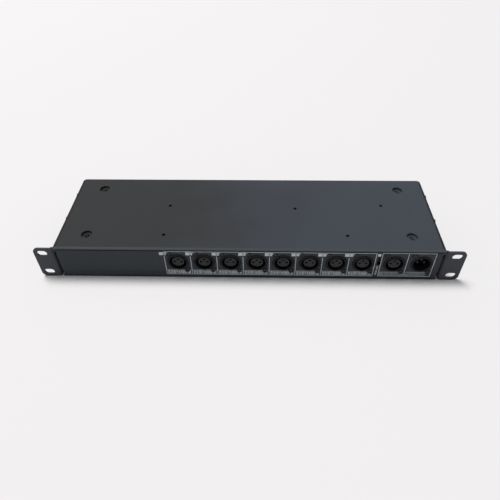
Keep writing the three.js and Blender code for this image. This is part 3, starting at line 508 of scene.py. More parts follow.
def powder_coat(name, hex_code, painted_light_far_code, painted_highlight_code, painted_front_light_code, grain_mm=0.5, rough=0.5):
    """Steel with a baked powder coat: satin, with a fine orange peel and a slow random drift in tone. Painted
    light on it:
    one end painted lighter and bluer, the panel's face painted lighter and bluer in place of light from the
    front, and a painted highlight strip along the fold above it."""
    material, tree, shader, place = new_material(name)
    axes = add_node(tree, "ShaderNodeSeparateXYZ", inputs={0: place})
    drift = add_node(tree, "ShaderNodeTexNoise", inputs={
        "Vector": place, "Scale": 1 / (90 * MM), "Detail": 2.0, "Roughness": 0.5})
    # Painted light: the slow noise is a random drift, but the sweep along X paints one end lighter and bluer,
    # as the light falls.
    painted_light_sweep = add_node(tree, "ShaderNodeMath", {"operation": "MULTIPLY_ADD"}, {
        0: drift.outputs["Fac"], 1: 0.3, 2: axes.outputs["X"]})
    along = add_node(tree, "ShaderNodeMapRange", {"interpolation_type": "SMOOTHSTEP"}, {
        "Value": painted_light_sweep.outputs[0], "From Min": -0.02, "From Max": 0.3})
    tone = add_node(tree, "ShaderNodeMix", {"data_type": "RGBA"}, {
        0: along.outputs["Result"], 6: colour(hex_code), 7: colour(painted_light_far_code)})
    # Painted light: the panel's face is painted lighter and bluer, standing in for the light from the front.
    painted_front_light_mask = add_node(tree, "ShaderNodeMapRange", {"interpolation_type": "SMOOTHSTEP"}, {
        "Value": axes.outputs["Y"], "From Min": (FRONT + 1.4) * MM, "From Max": (FRONT + 0.4) * MM})
    front_lit_tone = add_node(tree, "ShaderNodeMix", {"data_type": "RGBA"}, {
        0: painted_front_light_mask.outputs["Result"], 6: tone.outputs[2], 7: colour(painted_front_light_code)})
    # Painted highlight: a lighter strip along the plate just behind the front fold, where the bend catches the
    # overhead light.
    from_fold = add_node(tree, "ShaderNodeMath", {"operation": "SUBTRACT"}, {
        0: axes.outputs["Y"], 1: (FRONT + HIGHLIGHT_PLACE) * MM})
    off_fold = add_node(tree, "ShaderNodeMath", {"operation": "ABSOLUTE"}, {0: from_fold.outputs[0]})
    painted_highlight_mask = add_node(tree, "ShaderNodeMapRange", {"interpolation_type": "SMOOTHSTEP"}, {
        "Value": off_fold.outputs[0], "From Min": HIGHLIGHT_WIDTH * MM, "From Max": 0.4 * MM,
        "To Min": 0, "To Max": 0.8})
    highlighted_tone = add_node(tree, "ShaderNodeMix", {"data_type": "RGBA"}, {
        0: painted_highlight_mask.outputs["Result"], 6: front_lit_tone.outputs[2], 7: colour(painted_highlight_code)})
    grain = add_node(tree, "ShaderNodeTexNoise", inputs={
        "Vector": place, "Scale": 1 / (grain_mm * MM), "Detail": 3.0, "Roughness": 0.6})
    peel = add_node(tree, "ShaderNodeTexNoise", inputs={
        "Vector": place, "Scale": 1 / (2.6 * MM), "Detail": 1.0})
    fleck = add_node(tree, "ShaderNodeMapRange", inputs={
        "Value": grain.outputs["Fac"], "From Min": 0.3, "From Max": 0.7, "To Min": 0.86, "To Max": 1.14})
    speckled = add_node(tree, "ShaderNodeMix", {"data_type": "RGBA", "blend_type": "MULTIPLY"}, {
        0: 1.0, 6: highlighted_tone.outputs[2], 7: fleck.outputs["Result"]})
    sheen = add_node(tree, "ShaderNodeMapRange", inputs={
        "Value": drift.outputs["Fac"], "From Min": 0.3, "From Max": 0.7,
        "To Min": rough - 0.05, "To Max": rough + 0.06})
    coarse = add_node(tree, "ShaderNodeBump", inputs={
        "Strength": 0.25, "Distance": 0.05 * MM, "Height": peel.outputs["Fac"]})
    fine = add_node(tree, "ShaderNodeBump", inputs={
        "Strength": 0.35, "Distance": 0.03 * MM, "Height": grain.outputs["Fac"],
        "Normal": coarse.outputs["Normal"]})
    tree.links.new(speckled.outputs[2], shader.inputs["Base Color"])
    tree.links.new(sheen.outputs["Result"], shader.inputs["Roughness"])
    tree.links.new(fine.outputs["Normal"], shader.inputs["Normal"])
    shader.inputs["IOR"].default_value = 1.5
    shader.inputs["Specular IOR Level"].default_value = 0.16
    return material


def moulded_plastic(name, hex_code, worn_code, rough, grain_mm, gloss=0.5):
    """Black moulded nylon or ABS: an even colour with a fine moulded grain that scatters the gloss."""
    material, tree, shader, place = new_material(name)
    grain = add_node(tree, "ShaderNodeTexNoise", inputs={
        "Vector": place, "Scale": 1 / (grain_mm * MM), "Detail": 2.0})
    cloud = add_node(tree, "ShaderNodeTexNoise", inputs={
        "Vector": place, "Scale": 1 / (6 * MM), "Detail": 2.0})
    tone = add_node(tree, "ShaderNodeMix", {"data_type": "RGBA"}, {
        0: cloud.outputs["Fac"], 6: colour(hex_code), 7: colour(worn_code)})
    sheen = add_node(tree, "ShaderNodeMapRange", inputs={
        "Value": cloud.outputs["Fac"], "To Min": rough - 0.08, "To Max": rough + 0.08})
    bump = add_node(tree, "ShaderNodeBump", inputs={
        "Strength": 0.3, "Distance": 0.02 * MM, "Height": grain.outputs["Fac"]})
    tree.links.new(tone.outputs[2], shader.inputs["Base Color"])
    tree.links.new(sheen.outputs["Result"], shader.inputs["Roughness"])
    tree.links.new(bump.outputs["Normal"], shader.inputs["Normal"])
    shader.inputs["Specular IOR Level"].default_value = gloss
    return material


def plated_metal(name, hex_code, dull_code, rough):
    """Bare or plated metal, with a brushed grain along X that spreads its highlight."""
    material, tree, shader, place = new_material(name)
    stretch = add_node(tree, "ShaderNodeMapping", inputs={"Vector": place, "Scale": (0.15, 1, 1)})
    brush = add_node(tree, "ShaderNodeTexNoise", inputs={
        "Vector": stretch.outputs["Vector"], "Scale": 1 / (0.3 * MM), "Detail": 3.0})
    tone = add_node(tree, "ShaderNodeMix", {"data_type": "RGBA"}, {
        0: brush.outputs["Fac"], 6: colour(hex_code), 7: colour(dull_code)})
    sheen = add_node(tree, "ShaderNodeMapRange", inputs={
        "Value": brush.outputs["Fac"], "To Min": rough - 0.08, "To Max": rough + 0.1})
    tree.links.new(tone.outputs[2], shader.inputs["Base Color"])
    tree.links.new(sheen.outputs["Result"], shader.inputs["Roughness"])
    shader.inputs["Metallic"].default_value = 1.0
    return material


def drawn_glass(name, hex_code):
    """The fuse's drawn soda-lime tube: clear, with the faint long waves of the drawing."""
    material, tree, shader, place = new_material(name)
    stretch = add_node(tree, "ShaderNodeMapping", inputs={"Vector": place, "Scale": (0.1, 1, 1)})
    waves = add_node(tree, "ShaderNodeTexNoise", inputs={
        "Vector": stretch.outputs["Vector"], "Scale": 1 / (1.2 * MM), "Detail": 1.0})
    bump = add_node(tree, "ShaderNodeBump", inputs={
        "Strength": 0.2, "Distance": 0.02 * MM, "Height": waves.outputs["Fac"]})
    tree.links.new(bump.outputs["Normal"], shader.inputs["Normal"])
    shader.inputs["Base Color"].default_value = colour(hex_code)
    shader.inputs["Roughness"].default_value = 0.04
    shader.inputs["IOR"].default_value = 1.52
    shader.inputs["Transmission Weight"].default_value = 1.0
    return material


def printed_ink(name, hex_code, thin_code):
    """Screen-printed ink: matt, a little uneven where the mesh left it thin."""
    material, tree, shader, place = new_material(name)
    cover = add_node(tree, "ShaderNodeTexNoise", inputs={
        "Vector": place, "Scale": 1 / (0.8 * MM), "Detail": 3.0})
    tone = add_node(tree, "ShaderNodeMix", {"data_type": "RGBA"}, {
        0: cover.outputs["Fac"], 6: colour(hex_code), 7: colour(thin_code)})
    bump = add_node(tree, "ShaderNodeBump", inputs={
        "Strength": 0.2, "Distance": 0.01 * MM, "Height": cover.outputs["Fac"]})
    tree.links.new(tone.outputs[2], shader.inputs["Base Color"])
    tree.links.new(bump.outputs["Normal"], shader.inputs["Normal"])
    shader.inputs["Roughness"].default_value = 0.6
    return material


def circuit_laminate():
    """Glass-epoxy board under green solder mask: copper tracks show through as paler lines."""
    material, tree, shader, place = new_material("green solder mask")
    weave = add_node(tree, "ShaderNodeTexBrick", inputs={
        "Vector": place, "Scale": 1 / (4 * MM), "Mortar Size": 0.06,
        "Color1": colour("14502c"), "Color2": colour("12482a"), "Mortar": colour("2c7a46")})
    gloss = add_node(tree, "ShaderNodeTexNoise", inputs={"Vector": place, "Scale": 1 / (9 * MM)})
    sheen = add_node(tree, "ShaderNodeMapRange", inputs={
        "Value": gloss.outputs["Fac"], "To Min": 0.25, "To Max": 0.45})
    tree.links.new(weave.outputs["Color"], shader.inputs["Base Color"])
    tree.links.new(sheen.outputs["Result"], shader.inputs["Roughness"])
    return material


def laminated_steel():
    """Varnished transformer laminations: thin dark lines between bright sheets 0.5 mm thick."""
    material, tree, shader, place = new_material("varnished laminations")
    sheets = add_node(tree, "ShaderNodeTexWave", {"bands_direction": "Z"}, {
        "Vector": place, "Scale": 1 / (20 * 0.5 * MM), "Distortion": 0.4, "Detail": 2.0})
    tone = add_node(tree, "ShaderNodeMix", {"data_type": "RGBA"}, {
        0: sheets.outputs["Fac"], 6: colour("4c4a47"), 7: colour("8a8780")})
    bump = add_node(tree, "ShaderNodeBump", inputs={
        "Strength": 0.5, "Distance": 0.1 * MM, "Height": sheets.outputs["Fac"]})
    tree.links.new(tone.outputs[2], shader.inputs["Base Color"])
    tree.links.new(bump.outputs["Normal"], shader.inputs["Normal"])
    shader.inputs["Metallic"].default_value = 0.8
    shader.inputs["Roughness"].default_value = 0.45
    return material


def insulated_lead(name, hex_code):
    """Vinyl wire insulation: glossy, with a faint stripe of dust."""
    material, tree, shader, place = new_material(name)
    dust = add_node(tree, "ShaderNodeTexNoise", inputs={"Vector": place, "Scale": 1 / (5 * MM)})
    shade = add_node(tree, "ShaderNodeMapRange", inputs={
        "Value": dust.outputs["Fac"], "To Min": 0.85, "To Max": 1.15})
    tone = add_node(tree, "ShaderNodeMix", {"data_type": "RGBA", "blend_type": "MULTIPLY"}, {
        0: 1.0, 6: colour(hex_code), 7: shade.outputs["Result"]})
    tree.links.new(tone.outputs[2], shader.inputs["Base Color"])
    shader.inputs["Roughness"].default_value = 0.35
    return material


# Case


def fold_sheet(piece, thickness, radius):
    """Rounds the folds of a bare sheet and then gives it its thickness, inwards."""
    edit(piece)
    bpy.ops.mesh.select_all(action="SELECT")
    bpy.ops.mesh.remove_doubles(threshold=0.001 * MM)
    done()
    soften(piece, radius, segments=8, angle=60)
    wall = piece.modifiers.new("wall", "SOLIDIFY")
    wall.thickness = thickness * MM
    wall.offset = -1
    wall.use_even_offset = True
    apply_modifiers(piece)
    return piece


def folded_tray():
    """Underside plate with socket panel, rear wall and side flanges, folded from one sheet."""
    tray = plane_piece("case_tray", (0, 0, TOP), 2 * TRAY_HALF, REAR - FRONT)
    edit(tray)
    round_corners(tray, lambda place: place.y > REAR - 0.1, REAR_CORNER)
    bpy.ops.mesh.select_all(action="SELECT")
    bpy.ops.mesh.region_to_loop()
    bpy.ops.mesh.extrude_region_move(TRANSFORM_OT_translate={"value": (0, 0, -SIDE_FLANGE * MM)})
    done()
    for wall_y, inwards in ((FRONT, 1), (REAR, -1)):
        edit(tray)
        pick_edges(tray, lambda a, b: all(
            abs(p.y - wall_y) < 0.01 and abs(p.z - TOP + SIDE_FLANGE) < 0.01 for p in (a, b)))
        drop = TOP - SIDE_FLANGE - SHEET - SEAM
        bpy.ops.mesh.extrude_region_move(TRANSFORM_OT_translate={"value": (0, 0, -drop * MM)})
        bpy.ops.mesh.extrude_region_move(TRANSFORM_OT_translate={"value": (0, inwards * LIP_LENGTH * MM, 0)})
        done()
    edit(tray)
    bpy.ops.mesh.select_all(action="SELECT")
    bpy.ops.mesh.normals_make_consistent(inside=False)
    across = lambda a, b: abs(a.y - b.y) < 0.01
    folds = (
        (FOLD_RADIUS, lambda a, b: across(a, b) and (a.z + b.z < 6 or (a.z + b.z > 2 * TOP - 1 and a.y < 0))),
        (REAR_FOLD_RADIUS, lambda a, b: across(a, b) and a.z + b.z > 2 * TOP - 1 and a.y > 0),
        (SIDE_FOLD_RADIUS, lambda a, b: not across(a, b) and a.z + b.z > 2 * TOP - 0.1),
    )
    for radius, test in folds:
        pick_edges(tray, test)
        bpy.ops.transform.edge_bevelweight(value=radius / FOLD_RADIUS)
    done()
    rounding = tray.modifiers.new("rounding", "BEVEL")
    rounding.width = FOLD_RADIUS * MM
    rounding.segments = 8
    rounding.limit_method = "WEIGHT"
    wall = tray.modifiers.new("wall", "SOLIDIFY")
    wall.thickness = SHEET * MM
    wall.offset = -1
    wall.use_even_offset = True
    apply_modifiers(tray)
    combine(tray, corner_notches(), "DIFFERENCE")
    combine(tray, [joined(tray_fittings())], "UNION")
    combine(tray, [joined(tray_cutters())], "DIFFERENCE")
    combine(tray, [joined(seam_lines())], "DIFFERENCE")
    for x, y in dimple_places():
        edit(tray)
        pick_edges(tray, lambda a, b: all(
            abs(math.hypot(p.x - x, p.y - y) - DIMPLE_WIDTH / 2) < 0.05 and abs(p.z - TOP) < 0.01
            for p in (a, b)))
        bpy.ops.mesh.bevel(offset=0.5 * MM, segments=4, affect="EDGES")
        done()
    return steady(smooth(tray, 30))


def round_corners(sheet, test, radius):
    """Rounds the corners of a flat sheet that pass the test, in edit mode."""
    bpy.ops.mesh.select_mode(type="VERT")
    mesh = bmesh.from_edit_mesh(sheet.data)
    for corner in mesh.verts:
        corner.select_set(bool(test(corner.co / MM)))
    bmesh.update_edit_mesh(sheet.data)
    bpy.ops.mesh.bevel(offset=radius * MM, segments=8, affect="VERTICES")


def corner_notches():
    """What is left open at the four upright corners, where the flanges and the two walls don't meet."""
    made = []
    for side in (-1, 1):
        for edge, inwards in ((FRONT, 1), (REAR, -1)):
            made.append(box_piece("notch", side * PANEL_HALF, side * (TRAY_HALF + 1), edge - inwards,
                                  edge + inwards * FOLD_RADIUS, -1, TOP - FOLD_RADIUS - SEAM))
            made.append(box_piece("lip end", side * PANEL_HALF, side * (TRAY_HALF + 1), edge - inwards,
                                  edge + inwards * (LIP_LENGTH + 1), -1, FOLD_RADIUS + 2))
    return made


def seam_lines():
    """The narrow lines beside the folds: pressed along the panel's top, perforated down both sides."""
    width, depth = PANEL_LINE
    line_z = TOP - FOLD_RADIUS / 2 - 0.3
    made = [box_piece("panel line", 0.5 - PANEL_HALF, PANEL_HALF - 0.5, FRONT - 1, FRONT + depth,
                      line_z, line_z + width)]
    width, depth = SIDE_LINE
    step = (REAR - FRONT - 2 * FOLD_RADIUS) / SIDE_BRIDGES
    for side in (-1, 1):
        edge = side * (TRAY_HALF - 0.25)
        for k in range(SIDE_BRIDGES):
            start = FRONT + FOLD_RADIUS + 1 + step * k
            made.append(box_piece("side line", edge - side * width, edge, start, start + step - 2,
                                  TOP - depth, TOP + 1))
    return made


def seam_shade_fill():
    """Painted shade: a black strip in the lines down both sides, a little below the sheet's face, standing for
    the shade in the side seams.
    """
    shade_strips = [line for line in seam_lines() if line.name.startswith("side line")]
    discard(*(line for line in bpy.data.objects if line.name.startswith("panel line")))
    shade_fill = joined(shade_strips)
    shade_fill.name = "side_seam_beads"
    edit(shade_fill)
    pick_faces(shade_fill, lambda centre, normal: normal.z > 0.9)
    bpy.ops.transform.translate(value=(0, 0, -1.3 * MM))
    done()
    return soften(shade_fill, 0.2, 2, 50)


def dimple_places():
    return [(side * DIMPLE_SPREAD / 2, FRONT + inset) for inset in DIMPLE_INSETS for side in (-1, 1)]


def tray_fittings():
    """The stamped cups, the clinched standoffs and the tabs that the ears are screwed to."""
    made = []
    for x, y in dimple_places():
        made.append(rod_piece("cup", "Z", TOP - DIMPLE_DEPTH - SHEET, TOP - SHEET / 2, (x, y),
                              DIMPLE_WIDTH - DIMPLE_TAPER + 2 * SHEET, 40, DIMPLE_WIDTH + 2 * SHEET))
    for x, inset in STANDOFFS:
        made.append(rod_piece("standoff", "Z", TOP - SHEET - STANDOFF_LENGTH, TOP - SHEET / 2,
                              (x, FRONT + inset), STANDOFF_WIDTH, 32))
    tab = (FRONT + FOLD_RADIUS, FRONT + EAR_SCREW_INSET + EAR_TAB_MARGIN,
           TOP / 2 - EAR_SCREW_PITCH / 2 - EAR_TAB_MARGIN, TOP - SIDE_FLANGE + 0.5)
    for side in (-1, 1):
        made.append(box_piece("ear tab", side * (TRAY_HALF - SHEET), side * TRAY_HALF, *tab))
    made.append(rod_piece("earth post", "Z", TOP - SHEET - 8, TOP - SHEET / 2, (-190, REAR - 31), 6, 6))
    return made


def tray_cutters():
    """Every hole in the tray: sockets, switch, mains fittings, screws, dimples and standoff bores."""
    made = []
    panel = (FRONT - 1, PANEL_BACK + 1)
    for x in (*FEMALES.values(), INPUT_X):
        made.append(rod_piece("hole", "Y", *panel, (x, SOCKET_Z), NOSE_WIDTH + 2 * SEAM, 96))
        for dx, dz in SCREW_PLACES:
            made.append(rod_piece("hole", "Y", *panel, (x + dx, SOCKET_Z + dz), SCREW_HOLE, 20))
    made.append(box_piece("slot", SWITCH_X - SWITCH_SLOT[0] / 2, SWITCH_X + SWITCH_SLOT[0] / 2, *panel,
                          SWITCH_Z - SWITCH_SLOT[1] / 2, SWITCH_Z + SWITCH_SLOT[1] / 2))
    rear = (REAR - SHEET - 1, REAR + 1)
    for x, z, (width, height, depth) in ((INLET_X, INLET_Z, INLET_BODY), (ROCKER_X, ROCKER_Z, ROCKER_BODY)):
        made.append(box_piece("slot", x - width / 2 - SEAM, x + width / 2 + SEAM, *rear,
                              z - height / 2 - SEAM, z + height / 2 + SEAM))
    for side in (-1, 1):
        made.append(rod_piece("hole", "Y", *rear, (INLET_X + side * INLET_SCREW_SPAN / 2, INLET_Z),
                              SCREW_HOLE, 20))
        for y, z in (*lid_screw_places(), *ear_screw_places()):
            made.append(rod_piece("hole", "X", side * (TRAY_HALF - 3), side * (TRAY_HALF + 1), (y, z),
                                  SCREW_HOLE, 20))
    for x, y in dimple_places():
        made.append(rod_piece("dimple", "Z", TOP - DIMPLE_DEPTH, TOP + 1, (x, y),
                              DIMPLE_WIDTH - DIMPLE_TAPER, 40,
                              DIMPLE_WIDTH + DIMPLE_TAPER / DIMPLE_DEPTH))
        made.append(rod_piece("hole", "Z", TOP - 5, TOP - DIMPLE_DEPTH + 0.5, (x, y), DIMPLE_HOLE, 24))
    for x, inset in STANDOFFS:
        made.append(rod_piece("bore", "Z", TOP - 8, TOP + 1, (x, FRONT + inset), STANDOFF_BORE, 24))
    return made


def lid_screw_places():
    return [(FRONT + inset, TOP - LID_SCREW_DROP) for inset in LID_SCREW_INSETS]


def ear_screw_places():
    return [(FRONT + EAR_SCREW_INSET, TOP / 2 + side * EAR_SCREW_PITCH / 2) for side in (-1, 1)]


def folded_lid():
    """The lid's plate, which the unit lies on, with a wall folded up inside each side flange of the tray."""
    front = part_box("lid")[0].y / MM
    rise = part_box("lid")[1].z / MM
    lid = plane_piece("case_lid", (0, (front + REAR) / 2, 0), 2 * LID_HALF, REAR - front)
    edit(lid)
    pick_edges(lid, lambda a, b: abs(a.x - b.x) < 0.01)
    bpy.ops.mesh.extrude_region_move(TRANSFORM_OT_translate={"value": (0, 0, rise * MM)})
    bpy.ops.mesh.select_all(action="SELECT")
    bpy.ops.mesh.normals_make_consistent(inside=False)
    done()
    if lid.data.polygons[0].normal.z > 0:
        edit(lid)
        bpy.ops.mesh.select_all(action="SELECT")
        bpy.ops.mesh.flip_normals()
        done()
    fold_sheet(lid, SHEET, LID_FOLD_RADIUS)
    cutters = []
    for side in (-1, 1):
        inner, outer = side * (LID_HALF - 3), side * (LID_HALF + 1)
        for y, z in (*lid_screw_places(), *ear_screw_places()):
            cutters.append(rod_piece("hole", "X", inner, outer, (y, z), SCREW_HOLE, 20))
        for end, stop in ((FRONT - 1, FRONT + FOLD_RADIUS), (REAR - FOLD_RADIUS, REAR + 1)):
            cutters.append(box_piece("wall end", inner, outer, end, stop, LID_FOLD_RADIUS, rise + 1))
    combine(lid, [joined(cutters)], "DIFFERENCE")
    return steady(smooth(lid, 30))


def rack_ear(side, name):
    """A rack ear: front flange with two slots and rounded corners, folded back along the case."""
    outer = RACK_WIDTH / 2
    ear = plane_piece(name, (side * (outer + CASE_HALF) / 2, FRONT, TOP / 2), outer - CASE_HALF, TOP,
                      math.pi / 2)
    edit(ear)
    round_corners(ear, lambda place: abs(place.x) > outer - 0.1, EAR_CORNER)
    bpy.ops.mesh.select_all(action="DESELECT")
    pick_edges(ear, lambda a, b: all(abs(abs(p.x) - CASE_HALF) < 0.01 for p in (a, b)))
    bpy.ops.mesh.extrude_region_move(TRANSFORM_OT_translate={"value": (0, EAR_RETURN * MM, 0)})
    bpy.ops.mesh.select_all(action="SELECT")
    bpy.ops.mesh.normals_make_consistent(inside=False)
    done()
    front_face = max(ear.data.polygons, key=lambda face: abs(face.normal.y))
    if front_face.normal.y > 0:
        edit(ear)
        bpy.ops.mesh.select_all(action="SELECT")
        bpy.ops.mesh.flip_normals()
        done()
    soften(ear, EAR_FOLD_RADIUS, segments=8, angle=60)
    wall = ear.modifiers.new("wall", "SOLIDIFY")
    wall.thickness = EAR_SHEET * MM
    wall.offset = -1
    wall.use_even_offset = True
    apply_modifiers(ear)
    cutters = []
    for rise in (-1, 1):
        slot = box_piece("slot", side * SLOT_SPAN / 2 - SLOT_LENGTH / 2, side * SLOT_SPAN / 2 + SLOT_LENGTH / 2,
                         FRONT - 1, FRONT + EAR_SHEET + 1, TOP / 2 + rise * SLOT_PITCH / 2 - SLOT_WIDTH / 2,
                         TOP / 2 + rise * SLOT_PITCH / 2 + SLOT_WIDTH / 2)
        edit(slot)
        pick_edges(slot, lambda a, b: abs(a.x - b.x) < 0.01 and abs(a.z - b.z) < 0.01)
        bpy.ops.mesh.bevel(offset=(SLOT_WIDTH / 2 - 0.02) * MM, segments=10, affect="EDGES")
        done()
        cutters.append(slot)
        edge_z = TOP / 2 + rise * TOP / 2
        cutters.append(box_piece("relief", side * (CASE_HALF - 1), side * (CASE_HALF + EAR_SHEET + 1),
                                 FRONT + EAR_FOLD_RADIUS, FRONT + EAR_RETURN + 1,
                                 edge_z - rise * EAR_RELIEF[rise], edge_z + rise))
    for y, z in ear_screw_places():
        cutters.append(rod_piece("hole", "X", side * (CASE_HALF - 1), side * (CASE_HALF + EAR_SHEET + 1),
                                 (y, z), SCREW_HOLE, 20))
    combine(ear, [joined(cutters)], "DIFFERENCE")
    soften(ear, 0.2, segments=2, angle=50)
    return steady(smooth(ear, 30))


# Sockets


def socket_shell(name):
    """A socket's housing around its own axis: nose through the panel, flange behind it, barrel."""
    nose_face = FRONT - NOSE_PROUD
    bore, nose, barrel = BORE_WIDTH / 2, NOSE_WIDTH / 2, BARREL_WIDTH / 2
    neck = INSERT_WIDTH / 2 + SEAM
    shell = turned_piece(name, [
        (bore, BORE_FLOOR), (bore, nose_face + 0.6), (bore + 0.15, nose_face + 0.2), (bore + 0.5, nose_face),
        (nose - 0.5, nose_face), (nose - 0.15, nose_face + 0.15), (nose, nose_face + 0.5),
        (nose, PANEL_BACK + SEAM), (barrel, PANEL_BACK + SEAM), (barrel, BARREL_BACK - 0.4),
        (barrel - 0.4, BARREL_BACK), (neck, BARREL_BACK), (neck, BORE_FLOOR), (bore, BORE_FLOOR)], sides=96)
    flange = plate_piece("flange", 0, 0, FLANGE_WIDTH, FLANGE_HEIGHT, PANEL_BACK,
                         PANEL_BACK + FLANGE_THICKNESS, 3)
    combine(flange, [rod_piece("hole", "Y", FRONT, BARREL_BACK, (0, 0), (bore + barrel), 96)], "DIFFERENCE")
    return combine(shell, [flange], "UNION")


def female_housing():
    shell = socket_shell("female_housing")
    half = LATCH_WIDTH / 2 + SEAM
    notch = box_piece("notch", -half, half, FRONT - NOSE_PROUD - 1,
                      FRONT + LATCH_LENGTH + LATCH_TRAVEL + SEAM,
                      LATCH_WALL - NOSE_WIDTH / 2, 1 - BORE_WIDTH / 2)
    return smooth(combine(shell, [notch], "DIFFERENCE"), 30)


def tail_block():
    """The block behind the barrel, with three solder tails that rise through the board."""
    middle = BARREL_BACK + 2
    made = [box_piece("block", -7.5, 7.5, BARREL_BACK, BARREL_BACK + 4, -8.5, 8.5)]
    for x in (-5, 0, 5):
        made.append(box_piece("tail", x - 0.4, x + 0.4, middle - 0.4, middle + 0.4,
                              8, BOARD_TOP + 1.4 - SOCKET_Z))
    return joined(made)


def female_insert():
    """The round contact block inside a female socket, its three bores countersunk."""
    face, edge, bore = FRONT + INSERT_RECESS, INSERT_WIDTH / 2, CONTACT_BORE / 2
    insert = turned_piece("female_insert", [
        (0, face), (edge - 0.6, face), (edge - 0.2, face + 0.15), (edge, face + 0.6),
        (edge, BARREL_BACK + 1), (0, BARREL_BACK + 1)], sides=64)
    combine(insert, [tail_block()], "UNION")
    bores = [turned_piece("bore", [
        (0, face - 0.5), (bore + 0.7, face - 0.5), (bore + 0.3, face + 0.05), (bore, face + 0.5),
        (bore, face + CONTACT_DEPTH), (0, face + CONTACT_DEPTH)], place, 24) for place in CONTACTS]
    return smooth(combine(insert, [joined(bores)], "DIFFERENCE"), 30)


def contact_sleeves():
    """The plated sleeves down in the three bores."""
    start, end, outer, inner = FRONT + INSERT_RECESS + 2.2, FRONT + INSERT_RECESS + 8.6, 1.25, 0.95
    sleeves = [turned_piece("sleeve", [
        (inner, start + 0.2), (inner + 0.15, start), (outer, start), (outer, end), (inner, end),
        (inner, start + 0.2)], place, 20) for place in CONTACTS]
    return smooth(joined(sleeves), 30)


def latch_tab():
    """The push tab at the socket's rim: a ribbed pad in front, a narrower tongue behind."""
    outer = LATCH_WALL + SEAM - NOSE_WIDTH / 2
    half = LATCH_WIDTH / 2
    front = FRONT - NOSE_PROUD - LATCH_PROUD
    pad = box_piece("female_latch", -half, half, front, FRONT, outer, 1 - BORE_WIDTH / 2)
    combine(pad, [rod_piece("bore", "Y", front - 1, FRONT + 1, (0, 0), BORE_WIDTH, 96)], "DIFFERENCE")
    grooves = [box_piece("groove", x - 0.2, x + 0.2, front - 1, front + 0.2, outer - 1, outer + 2)
               for x in (-1.8, -0.6, 0.6, 1.8)]
    combine(pad, [joined(grooves)], "DIFFERENCE")
    tongue = box_piece("tongue", 0.8 - half, half - 0.8, FRONT - 0.5, FRONT + LATCH_LENGTH,
                       outer, outer + LATCH_THICKNESS)
    combine(pad, [tongue], "UNION")
    return smooth(soften(pad, 0.12, 2, 50), 30)


def pin_carrier():
    """The moulded floor of the male socket that holds its three pins."""
    rim, neck = BORE_WIDTH / 2 - SEAM, INSERT_WIDTH / 2
    carrier = turned_piece("input_carrier", [
        (0, BORE_FLOOR - 1.5), (rim - 0.4, BORE_FLOOR - 1.5), (rim, BORE_FLOOR - 1.1), (rim, BORE_FLOOR),
        (neck, BORE_FLOOR), (neck, BARREL_BACK + 1), (0, BARREL_BACK + 1)], sides=64)
    return smooth(combine(carrier, [tail_block()], "UNION"), 30)


def contact_pins():
    tip, half = FRONT + 3, PIN_WIDTH / 2
    pins = [turned_piece("pin", [
        (0, tip), (half - 0.55, tip + 0.06), (half - 0.2, tip + 0.35), (half, tip + 0.9),
        (half, BORE_FLOOR - 1), (0, BORE_FLOOR - 1)], place, 28) for place in CONTACTS]
    return smooth(joined(pins), 30)


def pan_screw(name, reach, rise=2.1):
    """A cross-recess pan-head screw along +Y, its seat at 0 and its shank down to -reach."""
    screw = turned_piece(name, [
        (0, -reach), (0.9, -reach), (1.5, 0.7 - reach), (1.5, 0), (2.85, 0), (3, 0.15), (3, rise - 1.4),
        (2.88, rise - 0.95), (2.55, rise - 0.5), (2, rise - 0.18), (1.2, rise - 0.03), (0, rise)], sides=40)
    arms = [drawn_block("arm", ((rise + 0.3, -1.75), (rise + 0.3, 1.75), (rise - 1.2, 0.7),
                                (rise - 1.2, -0.7)), "X", -0.35, 0.35)
            for step in range(2)]
    arms[1].data.transform(Matrix.Rotation(math.pi / 2, 4, "Y"))
    return smooth(combine(screw, [joined(arms)], "DIFFERENCE"), 30)


# Switch, mains inlet and rocker


def switch_slider():
    """The termination slider: a ribbed knob in the panel's slot, on a wider shoe behind it."""
    half, top = SWITCH_SLOT[0] / 2 - SEAM, SWITCH_Z + SWITCH_SLOT[1] / 2 - SEAM
    face, shoe = FRONT - SLIDER_PROUD, PANEL_BACK + 1 + SEAM
    knob = box_piece("slider", SWITCH_X - half, SWITCH_X + half, face, shoe + 0.5, top - SLIDER_HEIGHT, top)
    grooves = [box_piece("groove", SWITCH_X - 3, SWITCH_X + 3, face - 1, face + 0.35,
                         top - rise - 0.25, top - rise + 0.25) for rise in (1.2, 2.1, 3, 3.9)]
    combine(knob, [joined(grooves)], "DIFFERENCE")
    foot = box_piece("shoe", SWITCH_X - 2.8, SWITCH_X + 2.8, shoe, shoe + 1.6, top - SLIDER_HEIGHT, top)
    combine(knob, [foot], "UNION")
    return smooth(soften(knob, 0.1, 2, 50), 30)


def cavity_outline():
    """The mains inlet's opening: a rectangle with two corners cut off on one long side."""
    half, rise, cut = CAVITY[0] / 2, CAVITY[1] / 2, CAVITY_BEVEL
    corners = ((-half, rise), (-half, cut - rise), (cut - half, -rise), (half - cut, -rise),
               (half, cut - rise), (half, rise))
    return [(INLET_X + x, CAVITY_Z + z) for x, z in corners]


